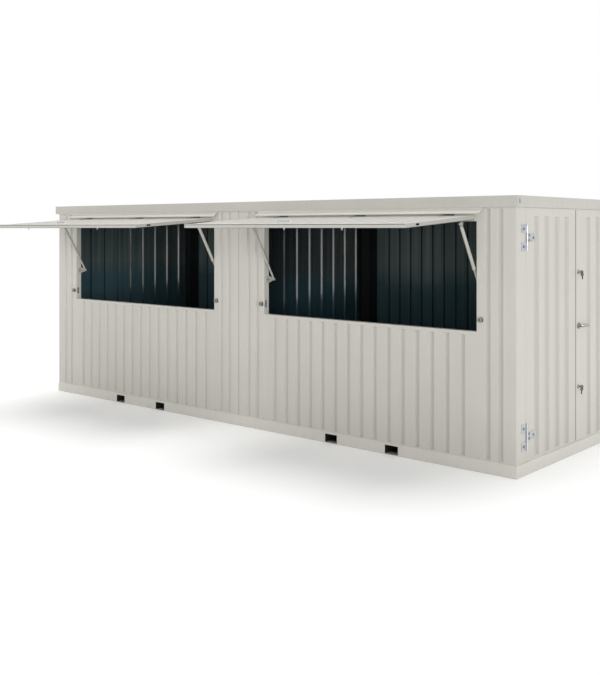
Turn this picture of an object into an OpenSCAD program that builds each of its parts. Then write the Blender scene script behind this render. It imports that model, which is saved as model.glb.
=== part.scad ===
// Container bar: two coupled sheet-steel modules with a serving hatch each and a double door at one end.
// X runs along the front, Y from the hatches to the back wall, Z up; the seam is at x = 0 on the ground.

/* [Modules] */
// Length of one module along the front
module_l = 3000; // [2700:10:3600]
// Depth of a module over its front and back walls
module_w = 2180; // [1900:10:2400]
// Height from the ground to the top of the roof edge
module_h = 2200; // [2150:10:2500]
// Gap between the posts of the two modules
seam_gap = 4; // [2:1:10]

/* [Base] */
// Height of the base rails
rail_h = 100; // [98:1:140]
// Sheet thickness of the base rails
rail_t = 4; // [3:0.5:5]
// Width of the rail flanges that carry the floor
rail_flange_w = 90; // [84:1:140]
// How far the rails stand out from the walls
rail_proud = 6; // [2:1:15]
// Distance between the two fork pockets of a module
fork_pitch = 662; // [400:2:1000]
// Clear width of a fork pocket
fork_w = 135; // [100:1:200]
// Clear height of a fork pocket
fork_h = 75; // [50:1:78]
// Wall of a fork pocket
fork_t = 3; // [2:0.5:5]
// Thickness of the floor boards
floor_t = 18; // [12:1:27]
// Gap between the floor and the walls
floor_gap = 4; // [2:1:10]

/* [Walls] */
// Sheet thickness of the walls
sheet_t = 2; // [1:0.25:3]
// Width of a pressed groove at the face of the sheet
groove_w = 50; // [36:1:70]
// Depth of a pressed groove
groove_d = 16; // [8:1:22]
// Width that each flank of a groove takes up
groove_flank = 11; // [6:1:15]
// Distance between grooves on the long walls
groove_pitch = 146; // [120:1:180]
// Least plain strip beside the outer grooves of a wall
groove_edge = 70; // [40:1:140]
// Plain strip left at the end of a groove
groove_margin = 10; // [6:1:40]
// Distance between grooves on the plain end walls
end_groove_pitch = 205; // [160:1:220]

/* [Posts] */
// Width of a corner post along the front
post_x = 100; // [70:1:110]
// Width of a corner post along the end
post_y = 165; // [120:1:220]
// Sheet thickness of a corner post
post_t = 3; // [2:0.5:5]
// Bare strip of a corner post beside the front panel
post_face = 35; // [20:1:60]

/* [Roof] */
// Height of the roof edge
fascia_h = 90; // [80:1:140]
// How far the roof edge stands out from the walls
fascia_proud = 30; // [10:1:60]
// Width of the upper part of the roof edge
fascia_w = 60; // [40:1:90]
// Sheet thickness of the roof edge
fascia_t = 3; // [2:0.5:5]
// Width of the ledge that carries the roof sheet
ledge_w = 35; // [20:1:60]
// Height of that ledge
ledge_h = 60; // [45:1:68]
// Distance between the ribs of the roof sheet
roof_pitch = 240; // [150:5:400]
// Height of the ribs of the roof sheet
roof_rib_h = 16; // [8:1:20]
// Length of the slot in the end of the roof edge
slot_l = 35; // [20:1:45]
// Width of that slot
slot_w = 14; // [5:1:18]
// Distance of the slot from the corner of the roof edge
slot_corner = 37; // [25:1:60]

/* [Hatch] */
// Width of the wall beside a hatch
pier_w = 345; // [300:1:600]
// Height of the sill above the ground
sill_z = 1115; // [950:5:1200]
// Height of the wall above a hatch
lintel_h = 110; // [106:1:160]
// Depth of the hatch frame
reveal_d = 62; // [50:1:70]
// Sheet thickness of the hatch frame
frame_t = 3; // [2:0.5:4]
// Width of the lips of the hatch frame
frame_lip = 25; // [15:1:40]
// How far the drip cap reaches out over the flap
cap_out = 70; // [60:1:110]
// How far the drip cap is longer than the hatch at each end
cap_extra = 60; // [20:1:90]
// Gap between the drip cap and the roof edge
cap_gap = 2; // [1:1:12]
// Fall of the drip cap from the wall to its front
cap_fall = 42; // [20:1:44]
// Height of the drip cap's folded front edge
cap_lip = 6; // [5:1:10]

/* [Flaps] */
// How far a flap laps over the wall at each side
flap_lap = 10; // [5:1:30]
// How far a closed flap reaches below the sill
flap_lap_low = 59; // [20:1:120]
// Thickness of a flap
flap_t = 30; // [24:1:40]
// Gap between a closed flap and the wall
flap_gap = 6; // [5:1:12]
// Height of the hinge above the top of the hatch
flap_hinge_rise = 46; // [40:1:50]
// Gap from the hinge to the upper edge of the flap
flap_hinge_gap = 14; // [12:1:20]
// Turn of a flap from closed to open
flap_open = 86; // [70:0.1:88]
// Depth of the grooves in a flap
flap_groove_d = 12; // [6:1:18]
// Plain strip round the grooves of a flap
flap_margin = 64; // [40:1:100]
// Distance of the outer flap hinges from the ends of the flap
flap_hinge_inset = 265; // [120:5:500]
// Width of the pull on the front edge of a flap
pull_w = 150; // [100:5:220]
// How far the pull stands out from the flap
pull_out = 33; // [28:1:60]
// Thickness of the pull
pull_d = 12; // [8:1:16]

/* [Struts] */
// Diameter of a strut tube
tube_d = 28; // [20:1:32]
// Diameter of a strut rod
rod_d = 18; // [8:1:20]
// Gap between a strut and the side of the hatch
strut_gap = 28; // [26:1:40]
// Distance of the upper strut joint from the flap's hinge
strut_up = 169; // [140:1:200]
// Distance of the upper strut joint from the inside of the flap
strut_lug = 27; // [24:1:35]
// Drop from the flap's hinge to the lower strut joint
strut_foot_drop = 596; // [540:1:660]
// Distance of the lower strut joint behind the front wall
strut_foot_in = 105; // [95:1:130]

/* [Doors] */
// Thickness of a door leaf
leaf_d = 40; // [30:1:60]
// Gap round a door leaf
door_gap = 6; // [5:0.5:10]
// Width of a groove in a door leaf
door_groove_w = 88; // [60:1:100]
// Distance between grooves on the front leaf
front_groove_pitch = 186; // [150:1:200]
// Distance between grooves on the back leaf
back_groove_pitch = 196; // [150:1:210]
// Least plain strip beside the grooves of the leaf that carries the lever
lock_strip = 150; // [120:1:200]
// Plain strip above the grooves of a door leaf
door_groove_top = 62; // [40:1:120]
// Height of the lower door hinges above the leaf's lower edge
hinge_low = 195; // [150:5:400]
// Distance of the upper door hinges below the leaf's upper edge
hinge_high = 234; // [150:5:400]
// Height of one door hinge
hinge_h = 210; // [150:3:270]
// Diameter of the door hinge barrels
barrel_d = 18; // [16:1:24]
// Length of the hinge straps on the doors
strap_l = 152; // [100:1:220]
// Length of the hinge plates on the posts
plate_l = 82; // [50:1:110]
// Height of the lever above the ground
lever_z = 1098; // [900:1:1200]
// Length of the lever from its shaft
lever_l = 150; // [110:1:180]
// Distance of the lever's shaft from the meeting edge
lever_in = 48; // [40:1:90]
// Height of the lower lock above the ground
lock_low_z = 573; // [400:1:800]
// Height of the upper lock above the ground
lock_high_z = 1566; // [1300:1:1800]

/* [Hidden] */
$fn = 48;

// Overrun of every cut, and the two running fits
over = 10;
bore_fit = 0.05;
side_fit = 1;

// Signs of the two modules, and of the two ends of a hatch
left = -1;
right = 1;
both = [left, right];

// Main planes
front_y = -module_w / 2;
wall_z = rail_h;
eave_z = module_h - fascia_h;
wall_h = eave_z - wall_z;
hatch_x = module_l / 2;
hatch_half = hatch_x - pier_w;
hatch_w = 2 * hatch_half;
hatch_top_z = eave_z - lintel_h;
seam_x = seam_gap / 2;
post_back_y = front_y + post_y;

// Pressed sheet: a bump is wider than its recess by the sheet it leaves in the flanks
bump_grow = sheet_t;
// Places of the two grooves beside a hatch, as shares of the wall between the hatch and the post
side_groove_shares = [0.396, 0.853];

// Floor: its edges stay off the hatch frames, the end ribs and the doors
floor_edge_y = front_y + reveal_d + floor_gap;
floor_seam_x = seam_x + groove_d + 2 * sheet_t + floor_gap;
floor_end_x = module_l - leaf_d - door_gap;
floor_outer_x = module_l - groove_d - 2 * sheet_t - floor_gap;

// Fork pockets lie on the lower flange of the rails
fork_z = rail_t + fork_t;

// Flap hinge axis
axis_y = front_y - flap_t - flap_gap;
axis_z = hatch_top_z + flap_hinge_rise;
flap_w = hatch_w + 2 * flap_lap;
flap_l = axis_z - sill_z + flap_lap_low;
knuckle_r = 8;
flap_pin_r = 4;
flap_knuckle_l = 50;
wall_knuckle_l = 25;
flap_plate_t = 4;
flap_strap_l = 92;
arm_t = 8;
arm_flange_h = 30;
flap_hinge_x = flap_w / 2 - flap_hinge_inset;
flap_hinge_xs = [-flap_hinge_x, 0, flap_hinge_x];

// Catches beside a hatch, and the slots that they meet in a closed flap
catch_rise = 100;
catch_r = 22;
catch_z = sill_z + catch_rise;
catch_gap = 5;
catch_x = flap_w / 2 + catch_r + catch_gap;
catch_base_h = 4;
catch_stem_r = 14;
catch_stem_h = 8;
catch_knob_h = 10;
catch_eye_r = 9;
catch_eye_d = 5;
flap_slot_l = 45;
flap_slot_w = 14;

// Strut joints: the upper one turns with the flap, the lower one is fixed
strut_x = hatch_half - strut_gap;
foot_y = front_y + strut_foot_in;
foot_z = axis_z - strut_foot_drop;
head_closed = [flap_t + strut_lug, -strut_up];
head_open = turned(head_closed, -flap_open);
head_y = axis_y + head_open[0];
head_z = axis_z + head_open[1];
strut_open_l = norm([foot_y - head_y, foot_z - head_z]);
strut_closed_l = norm([foot_y - axis_y - head_closed[0], foot_z - axis_z - head_closed[1]]);
strut_lean = atan2(foot_y - head_y, head_z - foot_z);
eye_r = 12;
eye_t = 16;
eye_pin_r = 5;
eye_neck_r = 7;
tube_start = 22;
tube_t = 3;
tube_guide_l = 14;
tube_clear = 8;
tube_end = strut_closed_l - eye_r - tube_clear;
rod_engage = 60;
rod_l = strut_open_l - tube_end + rod_engage;
piston_l = 12;
piston_fit = 0.5;
lug_t = 6;
lug_r = 14;
lug_foot_t = 4;
lug_foot_w = 60;
lug_foot_h = 50;
stud_head_r = 9;
stud_head_h = 3;
bracket_t = 6;
bracket_r = 18;
bracket_lap = 40;
bracket_h = 64;
boss_r = 8;
foot_clear = 1.5;

// Doors: leaf sizes, hinge axes and fittings
leaf_z = wall_z + door_gap;
leaf_h = eave_z - wall_z - 2 * door_gap;
leaf_w = module_w / 2 - post_y - door_gap - door_gap / 2;
leaf_edge_y = post_back_y + door_gap;
hinge_x = module_l + barrel_d / 2 + side_fit;
hinge_y = post_back_y + door_gap / 2;
hinge_pin_r = 5;
hinge_plate_t = 5;
knuckle_count = 3;
knuckle_h = (hinge_h - 2 * side_fit) / knuckle_count;
hinge_zs = [leaf_z + hinge_low, leaf_z + leaf_h - hinge_high];
lever_y = door_gap / 2 + lever_in;
rose_r = 26;
rose_h = 9;
shaft_r = 10;
shaft_seat = 0.3;
lever_out = 52;
lever_bend = 16;
lever_back = 18;
lock_y = door_gap / 2 + lever_in;
lock_r = 21;
lock_h = 7;
lock_core_r = 9;
lock_core_h = 5;

// Colours
paint = "#d5d2c8";
paint_shade = "#bdbab1";
inside_paint = "#2b3336";
zinc = "#b9bcbb";
strut_grey = "#a3a199";
ply = "#6b5a45";

// A point of the Y-Z plane turned about the X axis
function turned(p, a) = [p[0] * cos(a) - p[1] * sin(a), p[0] * sin(a) + p[1] * cos(a)];
// Places of as many grooves as a sheet takes between plain edges, centred
function spread(sheet_w, w, edge, pitch) =
    let (last = floor((sheet_w - w - 2 * edge) / pitch))
    [for (i = [0 : last]) (i - last / 2) * pitch];

// Shared shapes

// Mirrors what is drawn for the right module to the left one
module on_side(side) {
    if (side == left) mirror([1, 0, 0]) children();
    else children();
}

// The same at both sides of a hatch
module at_hatch_sides() {
    translate([hatch_x, 0, 0])
        for (side = both) on_side(side) children();
}

// A box from its lower to its upper corner
module block(lo, hi) {
    translate(lo) cube(hi - lo);
}

// A pressing with sloping flanks and ends: w by l at y = 0, d deep, with a straight lead ahead of it
module pressing(w, l, d, lead) {
    intersection() {
        linear_extrude(l)
            polygon([[-w / 2, -lead], [w / 2, -lead], [w / 2, 0], [w / 2 - groove_flank, d],
                     [groove_flank - w / 2, d], [-w / 2, 0]]);
        translate([-w / 2, 0, 0]) rotate([90, 0, 90]) linear_extrude(w)
            polygon([[-lead, 0], [0, 0], [d, groove_flank], [d, l - groove_flank], [0, l], [-lead, l]]);
    }
}

// Presses vertical grooves into a sheet whose outer face is y = 0
module grooved(xs, w, z0, l, d) {
    difference() {
        union() {
            children();
            for (x = xs) translate([x, sheet_t, z0 - bump_grow / 2])
                pressing(w + bump_grow, l + bump_grow, d, sheet_t / 2);
        }
        for (x = xs) translate([x, 0, z0]) pressing(w, l, d, over);
    }
}

// A plain sheet from x0 to x1, h high, with its outer face at y = 0
module sheet(x0, x1, h) {
    block([x0, 0, 0], [x1, sheet_t, h]);
}

// A sheet with returns folded back all round
module tray(x0, x1, z0, z1, depth) {
    difference() {
        block([x0, 0, z0], [x1, depth, z1]);
        block([x0 + sheet_t, sheet_t, z0 + sheet_t], [x1 - sheet_t, depth + over, z1 - sheet_t]);
    }
}

// A rectangular ring between two insets from the plan of a module
module plan_ring(proud, inset0, inset1, z0, z1) {
    difference() {
        plan_slab(proud, inset0, z0, z1);
        plan_slab(proud, inset1, z0 - over, z1 + over);
    }
}

module plan_slab(proud, inset, z0, z1) {
    block([inset, front_y - proud + inset, z0], [module_l + proud - inset, proud - front_y - inset, z1]);
}

// The front and back parts of a ring, cut off on the mitre
module long_sides(proud, w) {
    for (flip = [0, 1]) mirror([0, flip, 0]) intersection() {
        children();
        linear_extrude(module_h + over) polygon([
            [-over, front_y - proud - over], [module_l + proud + over, front_y - proud - over],
            [module_l + proud - w, front_y - proud + w], [w, front_y - proud + w]]);
    }
}

// The end parts of a ring, cut off on the mitre
module short_sides(proud, w) {
    intersection() {
        children();
        linear_extrude(module_h + over) {
            polygon([[-over, front_y - proud - over], [w, front_y - proud + w],
                     [w, proud - front_y - w], [-over, proud - front_y + over]]);
            polygon([[module_l + proud + over, front_y - proud - over],
                     [module_l + proud - w, front_y - proud + w],
                     [module_l + proud - w, proud - front_y - w],
                     [module_l + proud + over, proud - front_y + over]]);
        }
    }
}

// A rod along X between two ends
module bar_x(r, x0, x1) {
    translate([x0, 0, 0]) rotate([0, 90, 0]) cylinder(r = r, h = x1 - x0);
}

// Turns a closed flap about its hinge to where it stands open
module hung_open() {
    translate([0, axis_y, axis_z]) rotate([-flap_open, 0, 0]) children();
}

// Base

module base_ring() {
    difference() {
        plan_ring(rail_proud, 0, rail_flange_w, 0, rail_h);
        plan_slab(rail_proud, rail_t, rail_t, rail_h - rail_t);
    }
}

module fork_block(w, z0, z1, reach) {
    for (side = both)
        block([hatch_x + side * fork_pitch / 2 - w / 2, -reach, z0],
              [hatch_x + side * fork_pitch / 2 + w / 2, reach, z1]);
}

module base_rails(side) {
    color(paint_shade) on_side(side) difference() {
        long_sides(rail_proud, rail_flange_w) base_ring();
        fork_block(fork_w + 2 * fork_t, rail_t, fork_z + fork_h + fork_t,
                   rail_proud - front_y + over);
    }
}

module base_beams(side) {
    color(paint_shade) on_side(side) short_sides(rail_proud, rail_flange_w) base_ring();
}

module fork_pockets(side) {
    color(paint_shade) on_side(side) difference() {
        fork_block(fork_w + 2 * fork_t, rail_t, fork_z + fork_h + fork_t, rail_proud - front_y);
        fork_block(fork_w, fork_z, fork_z + fork_h, rail_proud - front_y + over);
    }
}

// The floor leaves room for the corner posts
module floor_boards(side, end_x) {
    color(ply) on_side(side) difference() {
        block([floor_seam_x, floor_edge_y, wall_z], [end_x, -floor_edge_y, wall_z + floor_t]);
        for (x = [seam_x, module_l - post_x - floor_gap], flip = [0, 1]) mirror([0, flip, 0])
            block([x, front_y, wall_z - over],
                  [x + post_x + floor_gap, post_back_y + floor_gap, wall_z + floor_t + over]);
    }
}

// Walls and posts

// Folded corner post, drawn with its outer corner at the origin; the front panel laps over its step
module post_section() {
    difference() {
        polygon([[0, 0], [0, post_y], [-post_x, post_y], [-post_x, sheet_t], [-post_face, sheet_t],
                 [-post_face, 0]]);
        translate([post_t - post_x, sheet_t + post_t])
            square([post_x - 2 * post_t, post_y - sheet_t - 2 * post_t]);
    }
}

module corner_posts() {
    color(paint) for (side = both, flip = [0, 1]) on_side(side) mirror([0, flip, 0])
        translate([0, front_y, wall_z]) linear_extrude(wall_h) {
            translate([module_l, 0]) post_section();
            translate([seam_x, 0]) mirror([1, 0]) post_section();
        }
}

// Folded channel at each side of a hatch, from the base to the roof edge
module hatch_posts() {
    color(paint_shade) for (side = both) on_side(side) at_hatch_sides()
        translate([hatch_half, front_y, wall_z]) linear_extrude(wall_h) difference() {
            translate([0, sheet_t]) square([frame_lip, reveal_d - sheet_t]);
            translate([frame_t, sheet_t + frame_t])
                square([frame_lip, reveal_d - sheet_t - 2 * frame_t]);
        }
}

module side_panels() {
    groove_l = wall_h - 2 * groove_margin;
    places = (pier_w - post_x) * side_groove_shares;
    color(paint) for (side = both) on_side(side) translate([0, front_y, wall_z]) {
        translate([hatch_x + hatch_half, 0, 0]) grooved(places, groove_w, groove_margin, groove_l, groove_d)
            sheet(0, module_l - post_face - hatch_x - hatch_half, wall_h);
        translate([hatch_x - hatch_half, 0, 0]) grooved(-places, groove_w, groove_margin, groove_l, groove_d)
            sheet(seam_x + post_face - hatch_x + hatch_half, 0, wall_h);
    }
}

module counter_panel(side) {
    panel_h = sill_z - wall_z;
    color(paint) on_side(side) translate([hatch_x, front_y, wall_z])
        grooved(spread(hatch_w, groove_w, groove_edge, groove_pitch), groove_w, groove_margin,
                panel_h - groove_margin - frame_lip, groove_d)
            sheet(-hatch_half, hatch_half, panel_h);
}

// Sill plate with a lip turned down behind the counter panel
module hatch_sills() {
    color(paint) for (side = both) on_side(side)
        translate([hatch_x - hatch_half, 0, 0]) rotate([90, 0, 90]) linear_extrude(hatch_w)
            polygon([[front_y, sill_z], [front_y, sill_z + frame_t],
                     [front_y + reveal_d, sill_z + frame_t], [front_y + reveal_d, sill_z - frame_lip],
                     [front_y + reveal_d - frame_t, sill_z - frame_lip],
                     [front_y + reveal_d - frame_t, sill_z]]);
}

// Folded lintel: face, soffit and a lip turned up behind
module lintels() {
    color(paint) for (side = both) on_side(side)
        translate([hatch_x - hatch_half, 0, 0]) rotate([90, 0, 90]) linear_extrude(hatch_w)
            polygon([[front_y, eave_z], [front_y, hatch_top_z], [front_y + reveal_d, hatch_top_z],
                     [front_y + reveal_d, hatch_top_z + frame_lip],
                     [front_y + reveal_d - sheet_t, hatch_top_z + frame_lip],
                     [front_y + reveal_d - sheet_t, hatch_top_z + sheet_t],
                     [front_y + sheet_t, hatch_top_z + sheet_t], [front_y + sheet_t, eave_z]]);
}

// Folded drip cap over a flap
module drip_caps() {
    top = eave_z - cap_gap;
    front = front_y - cap_out;
    color(paint) for (side = both) on_side(side)
        translate([hatch_x - hatch_half - cap_extra, 0, 0]) rotate([90, 0, 90])
            linear_extrude(hatch_w + 2 * cap_extra)
                polygon([[front_y, top], [front, top - cap_fall], [front, top - cap_fall - cap_lip],
                         [front + sheet_t, top - cap_fall - cap_lip],
                         [front + sheet_t, top - cap_fall - sheet_t],
                         [front_y - sheet_t, top - sheet_t], [front_y - sheet_t, top - frame_lip],
                         [front_y, top - frame_lip]]);
}

module back_wall(side) {
    color(paint) on_side(side) mirror([0, 1, 0]) translate([hatch_x, front_y, wall_z])
        grooved(spread(module_l - seam_x - 2 * post_x, groove_w, groove_edge, groove_pitch), groove_w,
                groove_margin, wall_h - 2 * groove_margin, groove_d)
            sheet(seam_x + post_face - hatch_x, module_l - post_face - hatch_x, wall_h);
}

// A plain grooved wall between the two posts of an end
module end_sheet() {
    color(paint) grooved(spread(-2 * post_back_y, groove_w, groove_edge, end_groove_pitch), groove_w,
                         groove_margin, wall_h - 2 * groove_margin, groove_d)
        sheet(post_back_y, -post_back_y, wall_h);
}

module left_end_wall() {
    translate([-module_l, 0, wall_z]) rotate([0, 0, -90]) end_sheet();
}

module seam_wall() {
    translate([seam_x, 0, wall_z]) rotate([0, 0, -90]) end_sheet();
}

// Roof

// Hollow roof edge with a ledge inside it
module roof_ring() {
    ring_w = fascia_w + ledge_w;
    difference() {
        union() {
            plan_ring(fascia_proud, 0, fascia_w, eave_z, module_h);
            plan_ring(fascia_proud, 0, ring_w, eave_z, eave_z + ledge_h);
        }
        plan_ring(fascia_proud, fascia_t, fascia_w - fascia_t, eave_z + fascia_t, module_h - fascia_t);
        plan_ring(fascia_proud, fascia_t, ring_w - fascia_t, eave_z + fascia_t,
                  eave_z + ledge_h - fascia_t);
    }
}

module roof_eaves() {
    color(paint) for (side = both) on_side(side) difference() {
        long_sides(fascia_proud, fascia_w + ledge_w) roof_ring();
        block([-over, front_y - over - fascia_proud, 0],
              [seam_x, fascia_proud + over - front_y, module_h + over]);
    }
}

module roof_ends(side) {
    slot_y = fascia_proud - front_y - slot_corner;
    slot_z = eave_z + (fascia_h - slot_l) / 2;
    color(paint) on_side(side) difference() {
        short_sides(fascia_proud, fascia_w + ledge_w) roof_ring();
        for (flip = [0, 1]) mirror([0, flip, 0])
            block([module_l + fascia_proud - fascia_t - over, slot_y - slot_w / 2, slot_z],
                  [module_l + fascia_proud + over, slot_y + slot_w / 2, slot_z + slot_l]);
    }
}

// Ribbed sheet on the ledge, with its ribs running from front to back
module roof_sheet(side) {
    x0 = fascia_w + side_fit;
    x1 = module_l + fascia_proud - fascia_w - side_fit;
    half_y = fascia_proud - front_y - fascia_w - side_fit;
    mids = [for (x = spread(x1 - x0, groove_w, groove_edge, roof_pitch)) (x0 + x1) / 2 + x];
    upper = [for (m = mids, p = [[-groove_w / 2, 0], [groove_flank - groove_w / 2, roof_rib_h],
                                 [groove_w / 2 - groove_flank, roof_rib_h], [groove_w / 2, 0]]) [m, 0] + p];
    line = concat([[x0, 0]], upper, [[x1, 0]]);
    color(paint_shade) on_side(side) translate([0, half_y, eave_z + ledge_h])
        rotate([90, 0, 0]) linear_extrude(2 * half_y)
            polygon(concat([for (p = line) p + [0, sheet_t]], [for (i = [len(line) - 1 : -1 : 0]) line[i]]));
}

// Hatch fittings

// Turn catch with a hollow knob, beside the flap's lower corner
module hatch_catches() {
    stem_top = catch_base_h + catch_stem_h;
    knob_top = stem_top + catch_knob_h;
    color(zinc) for (side = both) on_side(side) at_hatch_sides()
        translate([catch_x, front_y, catch_z]) rotate([90, 0, 0]) rotate_extrude()
            polygon([[0, 0], [catch_r, 0], [catch_r, catch_base_h], [catch_stem_r, catch_base_h],
                     [catch_stem_r, stem_top], [catch_r, stem_top], [catch_r, knob_top],
                     [catch_eye_r, knob_top], [catch_eye_r, knob_top - catch_eye_d],
                     [0, knob_top - catch_eye_d]]);
}

// Plate on the hatch post that narrows towards a boss, which faces the foot of the strut
module strut_brackets() {
    color(strut_grey) for (side = both) on_side(side) at_hatch_sides() {
        translate([hatch_half - bracket_t, 0, 0]) rotate([90, 0, 90]) linear_extrude(bracket_t) hull() {
            translate([front_y + reveal_d - bracket_lap, foot_z - bracket_h / 2])
                square([bracket_lap, bracket_h]);
            translate([foot_y, foot_z]) circle(r = bracket_r);
        }
        translate([0, foot_y, foot_z])
            bar_x(boss_r, strut_x + eye_t / 2 + foot_clear, hatch_half - bracket_t / 2);
    }
}

// Wall half of the flap hinges: two knuckles, the pin through them, and arms on a flange
module flap_hinges() {
    inner = flap_knuckle_l / 2 + side_fit;
    outer = inner + wall_knuckle_l;
    color(zinc) for (side = both, x = flap_hinge_xs) on_side(side)
        translate([hatch_x + x, axis_y, axis_z]) {
            bar_x(flap_pin_r, -outer, outer);
            for (end = both) on_side(end) {
                bar_x(knuckle_r, inner, outer);
                block([inner, 0, -arm_t / 2], [outer, front_y - axis_y, arm_t / 2]);
            }
            block([-outer, front_y - axis_y - flap_plate_t, -arm_t / 2],
                  [outer, front_y - axis_y, arm_flange_h - arm_t / 2]);
        }
}

// Flaps, drawn closed about the hinge axis and then turned open

module flap_skin(side) {
    top = -flap_hinge_gap;
    slot_mid = catch_z - axis_z;
    color(paint) on_side(side) translate([hatch_x, 0, 0]) hung_open() difference() {
        grooved(spread(flap_w, groove_w, groove_edge, groove_pitch), groove_w, flap_margin - flap_l,
                flap_l - flap_hinge_gap - 2 * flap_margin, flap_groove_d)
            tray(-flap_w / 2, flap_w / 2, -flap_l, top, flap_t);
        for (end = both)
            block([end * flap_w / 2 - over, (flap_t - flap_slot_w) / 2, slot_mid - flap_slot_l / 2],
                  [end * flap_w / 2 + over, (flap_t + flap_slot_w) / 2, slot_mid + flap_slot_l / 2]);
    }
}

module flap_lining(side) {
    color(inside_paint) on_side(side) translate([hatch_x, 0, 0]) hung_open()
        block([sheet_t - flap_w / 2, flap_t - sheet_t, sheet_t - flap_l],
              [flap_w / 2 - sheet_t, flap_t, -flap_hinge_gap - sheet_t]);
}

// Flap half of the hinges, with a running fit on the pins
module flap_straps(side) {
    color(zinc) on_side(side) translate([hatch_x, 0, 0]) hung_open() for (x = flap_hinge_xs)
        translate([x, 0, 0]) difference() {
            union() {
                bar_x(knuckle_r, -flap_knuckle_l / 2, flap_knuckle_l / 2);
                block([-flap_knuckle_l / 2, -flap_plate_t, -flap_strap_l], [flap_knuckle_l / 2, 0, 0]);
            }
            bar_x(flap_pin_r + bore_fit, -flap_knuckle_l, flap_knuckle_l);
        }
}

// Lug on the inside of the flap with the stud that carries the head of the strut
module flap_lugs(side) {
    plate_x = strut_x + eye_t / 2 + side_fit;
    stud_end = strut_x - eye_t / 2 - side_fit;
    color(zinc) on_side(side) translate([hatch_x, 0, 0]) hung_open() for (end = both) on_side(end) {
        block([plate_x - lug_foot_w + lug_t, flap_t, head_closed[1] - lug_foot_h / 2],
              [plate_x + lug_t, flap_t + lug_foot_t, head_closed[1] + lug_foot_h / 2]);
        translate([plate_x, 0, 0]) rotate([90, 0, 90]) linear_extrude(lug_t) {
            translate([flap_t, head_closed[1] - lug_r]) square([strut_lug, 2 * lug_r]);
            translate(head_closed) circle(r = lug_r);
        }
        translate([0, head_closed[0], head_closed[1]]) {
            bar_x(eye_pin_r, stud_end, plate_x + lug_t / 2);
            bar_x(stud_head_r, stud_end - stud_head_h, stud_end);
        }
    }
}

// Round bow handle on the front edge
module flap_pull(side) {
    foot_z0 = pull_d - flap_l;
    leg = pull_out - pull_d / 2;
    half = (pull_w - pull_d) / 2;
    color(zinc) on_side(side) translate([hatch_x, 0, 0]) hung_open() translate([0, 0, foot_z0]) {
        for (end = both) translate([end * half, 0, 0]) {
            rotate([90, 0, 0]) cylinder(d = pull_d, h = leg);
            translate([0, -leg, 0]) sphere(d = pull_d);
        }
        translate([0, -leg, 0]) bar_x(pull_d / 2, -half, half);
    }
}

// Struts

// Places one strut part at each side of a hatch, with the head joint at the origin and the foot below it
module at_struts(side) {
    on_side(side) translate([hatch_x, 0, 0]) for (end = both) on_side(end)
        translate([strut_x, head_y, head_z]) rotate([strut_lean, 0, 0]) children();
}

module strut_tubes(side) {
    color(strut_grey) at_struts(side) difference() {
        union() {
            bar_x(eye_r, -eye_t / 2, eye_t / 2);
            translate([0, 0, -tube_start]) cylinder(r = eye_neck_r, h = tube_start);
            translate([0, 0, -tube_end]) cylinder(d = tube_d, h = tube_end - tube_start);
        }
        bar_x(eye_pin_r + bore_fit, -eye_t, eye_t);
        translate([0, 0, tube_guide_l - tube_end])
            cylinder(d = tube_d - 2 * tube_t, h = tube_end - tube_start - 2 * tube_guide_l);
        translate([0, 0, -tube_end - over]) cylinder(r = rod_d / 2 + bore_fit, h = tube_guide_l + 2 * over);
    }
}

module strut_rods(side) {
    color(strut_grey) at_struts(side) translate([0, 0, -strut_open_l]) {
        bar_x(eye_r, -eye_t / 2, eye_t / 2);
        cylinder(r = eye_neck_r, h = tube_start);
        translate([0, 0, tube_start]) cylinder(d = rod_d, h = rod_l - tube_start);
        translate([0, 0, rod_l - piston_l])
            cylinder(r = tube_d / 2 - tube_t - piston_fit, h = piston_l);
    }
}

// Doors

// Draws a leaf of the front door in place, or its mirror image for the back door
module at_leaf(flip) {
    mirror([0, flip, 0]) children();
}

// Pressed door leaf with its edges folded in
module door_leaf(flip, edge, pitch) {
    color(paint) at_leaf(flip) translate([module_l, leaf_edge_y + leaf_w / 2, leaf_z]) rotate([0, 0, 90])
        grooved(spread(leaf_w, door_groove_w, edge, pitch), door_groove_w, groove_margin + sheet_t,
                leaf_h - door_groove_top - groove_margin - sheet_t, groove_d)
            tray(-leaf_w / 2, leaf_w / 2, 0, leaf_h, leaf_d);
}

// Post half of the door hinges: two knuckles with their plates, and the pin through them
module door_hinge_plates() {
    color(zinc) for (flip = [0, 1], z = hinge_zs) at_leaf(flip) translate([hinge_x, hinge_y, z]) {
        translate([0, 0, -hinge_h / 2]) cylinder(r = hinge_pin_r, h = hinge_h);
        for (up = [0, 1]) mirror([0, 0, up]) translate([0, 0, -hinge_h / 2]) {
            cylinder(d = barrel_d, h = knuckle_h);
            block([module_l - hinge_x, -plate_l, 0], [module_l - hinge_x + hinge_plate_t, 0, knuckle_h]);
        }
    }
}

// Door half of the hinges: one knuckle with a round-ended strap
module door_straps(flip) {
    color(zinc) at_leaf(flip) for (z = hinge_zs) translate([hinge_x, hinge_y, z]) difference() {
        union() {
            translate([0, 0, -knuckle_h / 2]) cylinder(d = barrel_d, h = knuckle_h);
            translate([module_l - hinge_x, 0, 0]) rotate([90, 0, 90]) linear_extrude(hinge_plate_t) {
                translate([0, -knuckle_h / 2]) square([strap_l - knuckle_h / 2, knuckle_h]);
                translate([strap_l - knuckle_h / 2, 0]) circle(d = knuckle_h);
            }
        }
        translate([0, 0, -knuckle_h]) cylinder(r = hinge_pin_r + bore_fit, h = 2 * knuckle_h);
    }
}

module lever_rose() {
    color(zinc) translate([module_l, lever_y, lever_z]) difference() {
        bar_x(rose_r, 0, rose_h);
        bar_x(shaft_r + bore_fit, -over, rose_h + over);
    }
}

// Quarter bend of the lever's bar
module lever_elbow() {
    rotate_extrude(angle = 90) translate([lever_bend, 0]) circle(r = shaft_r);
}

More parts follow.
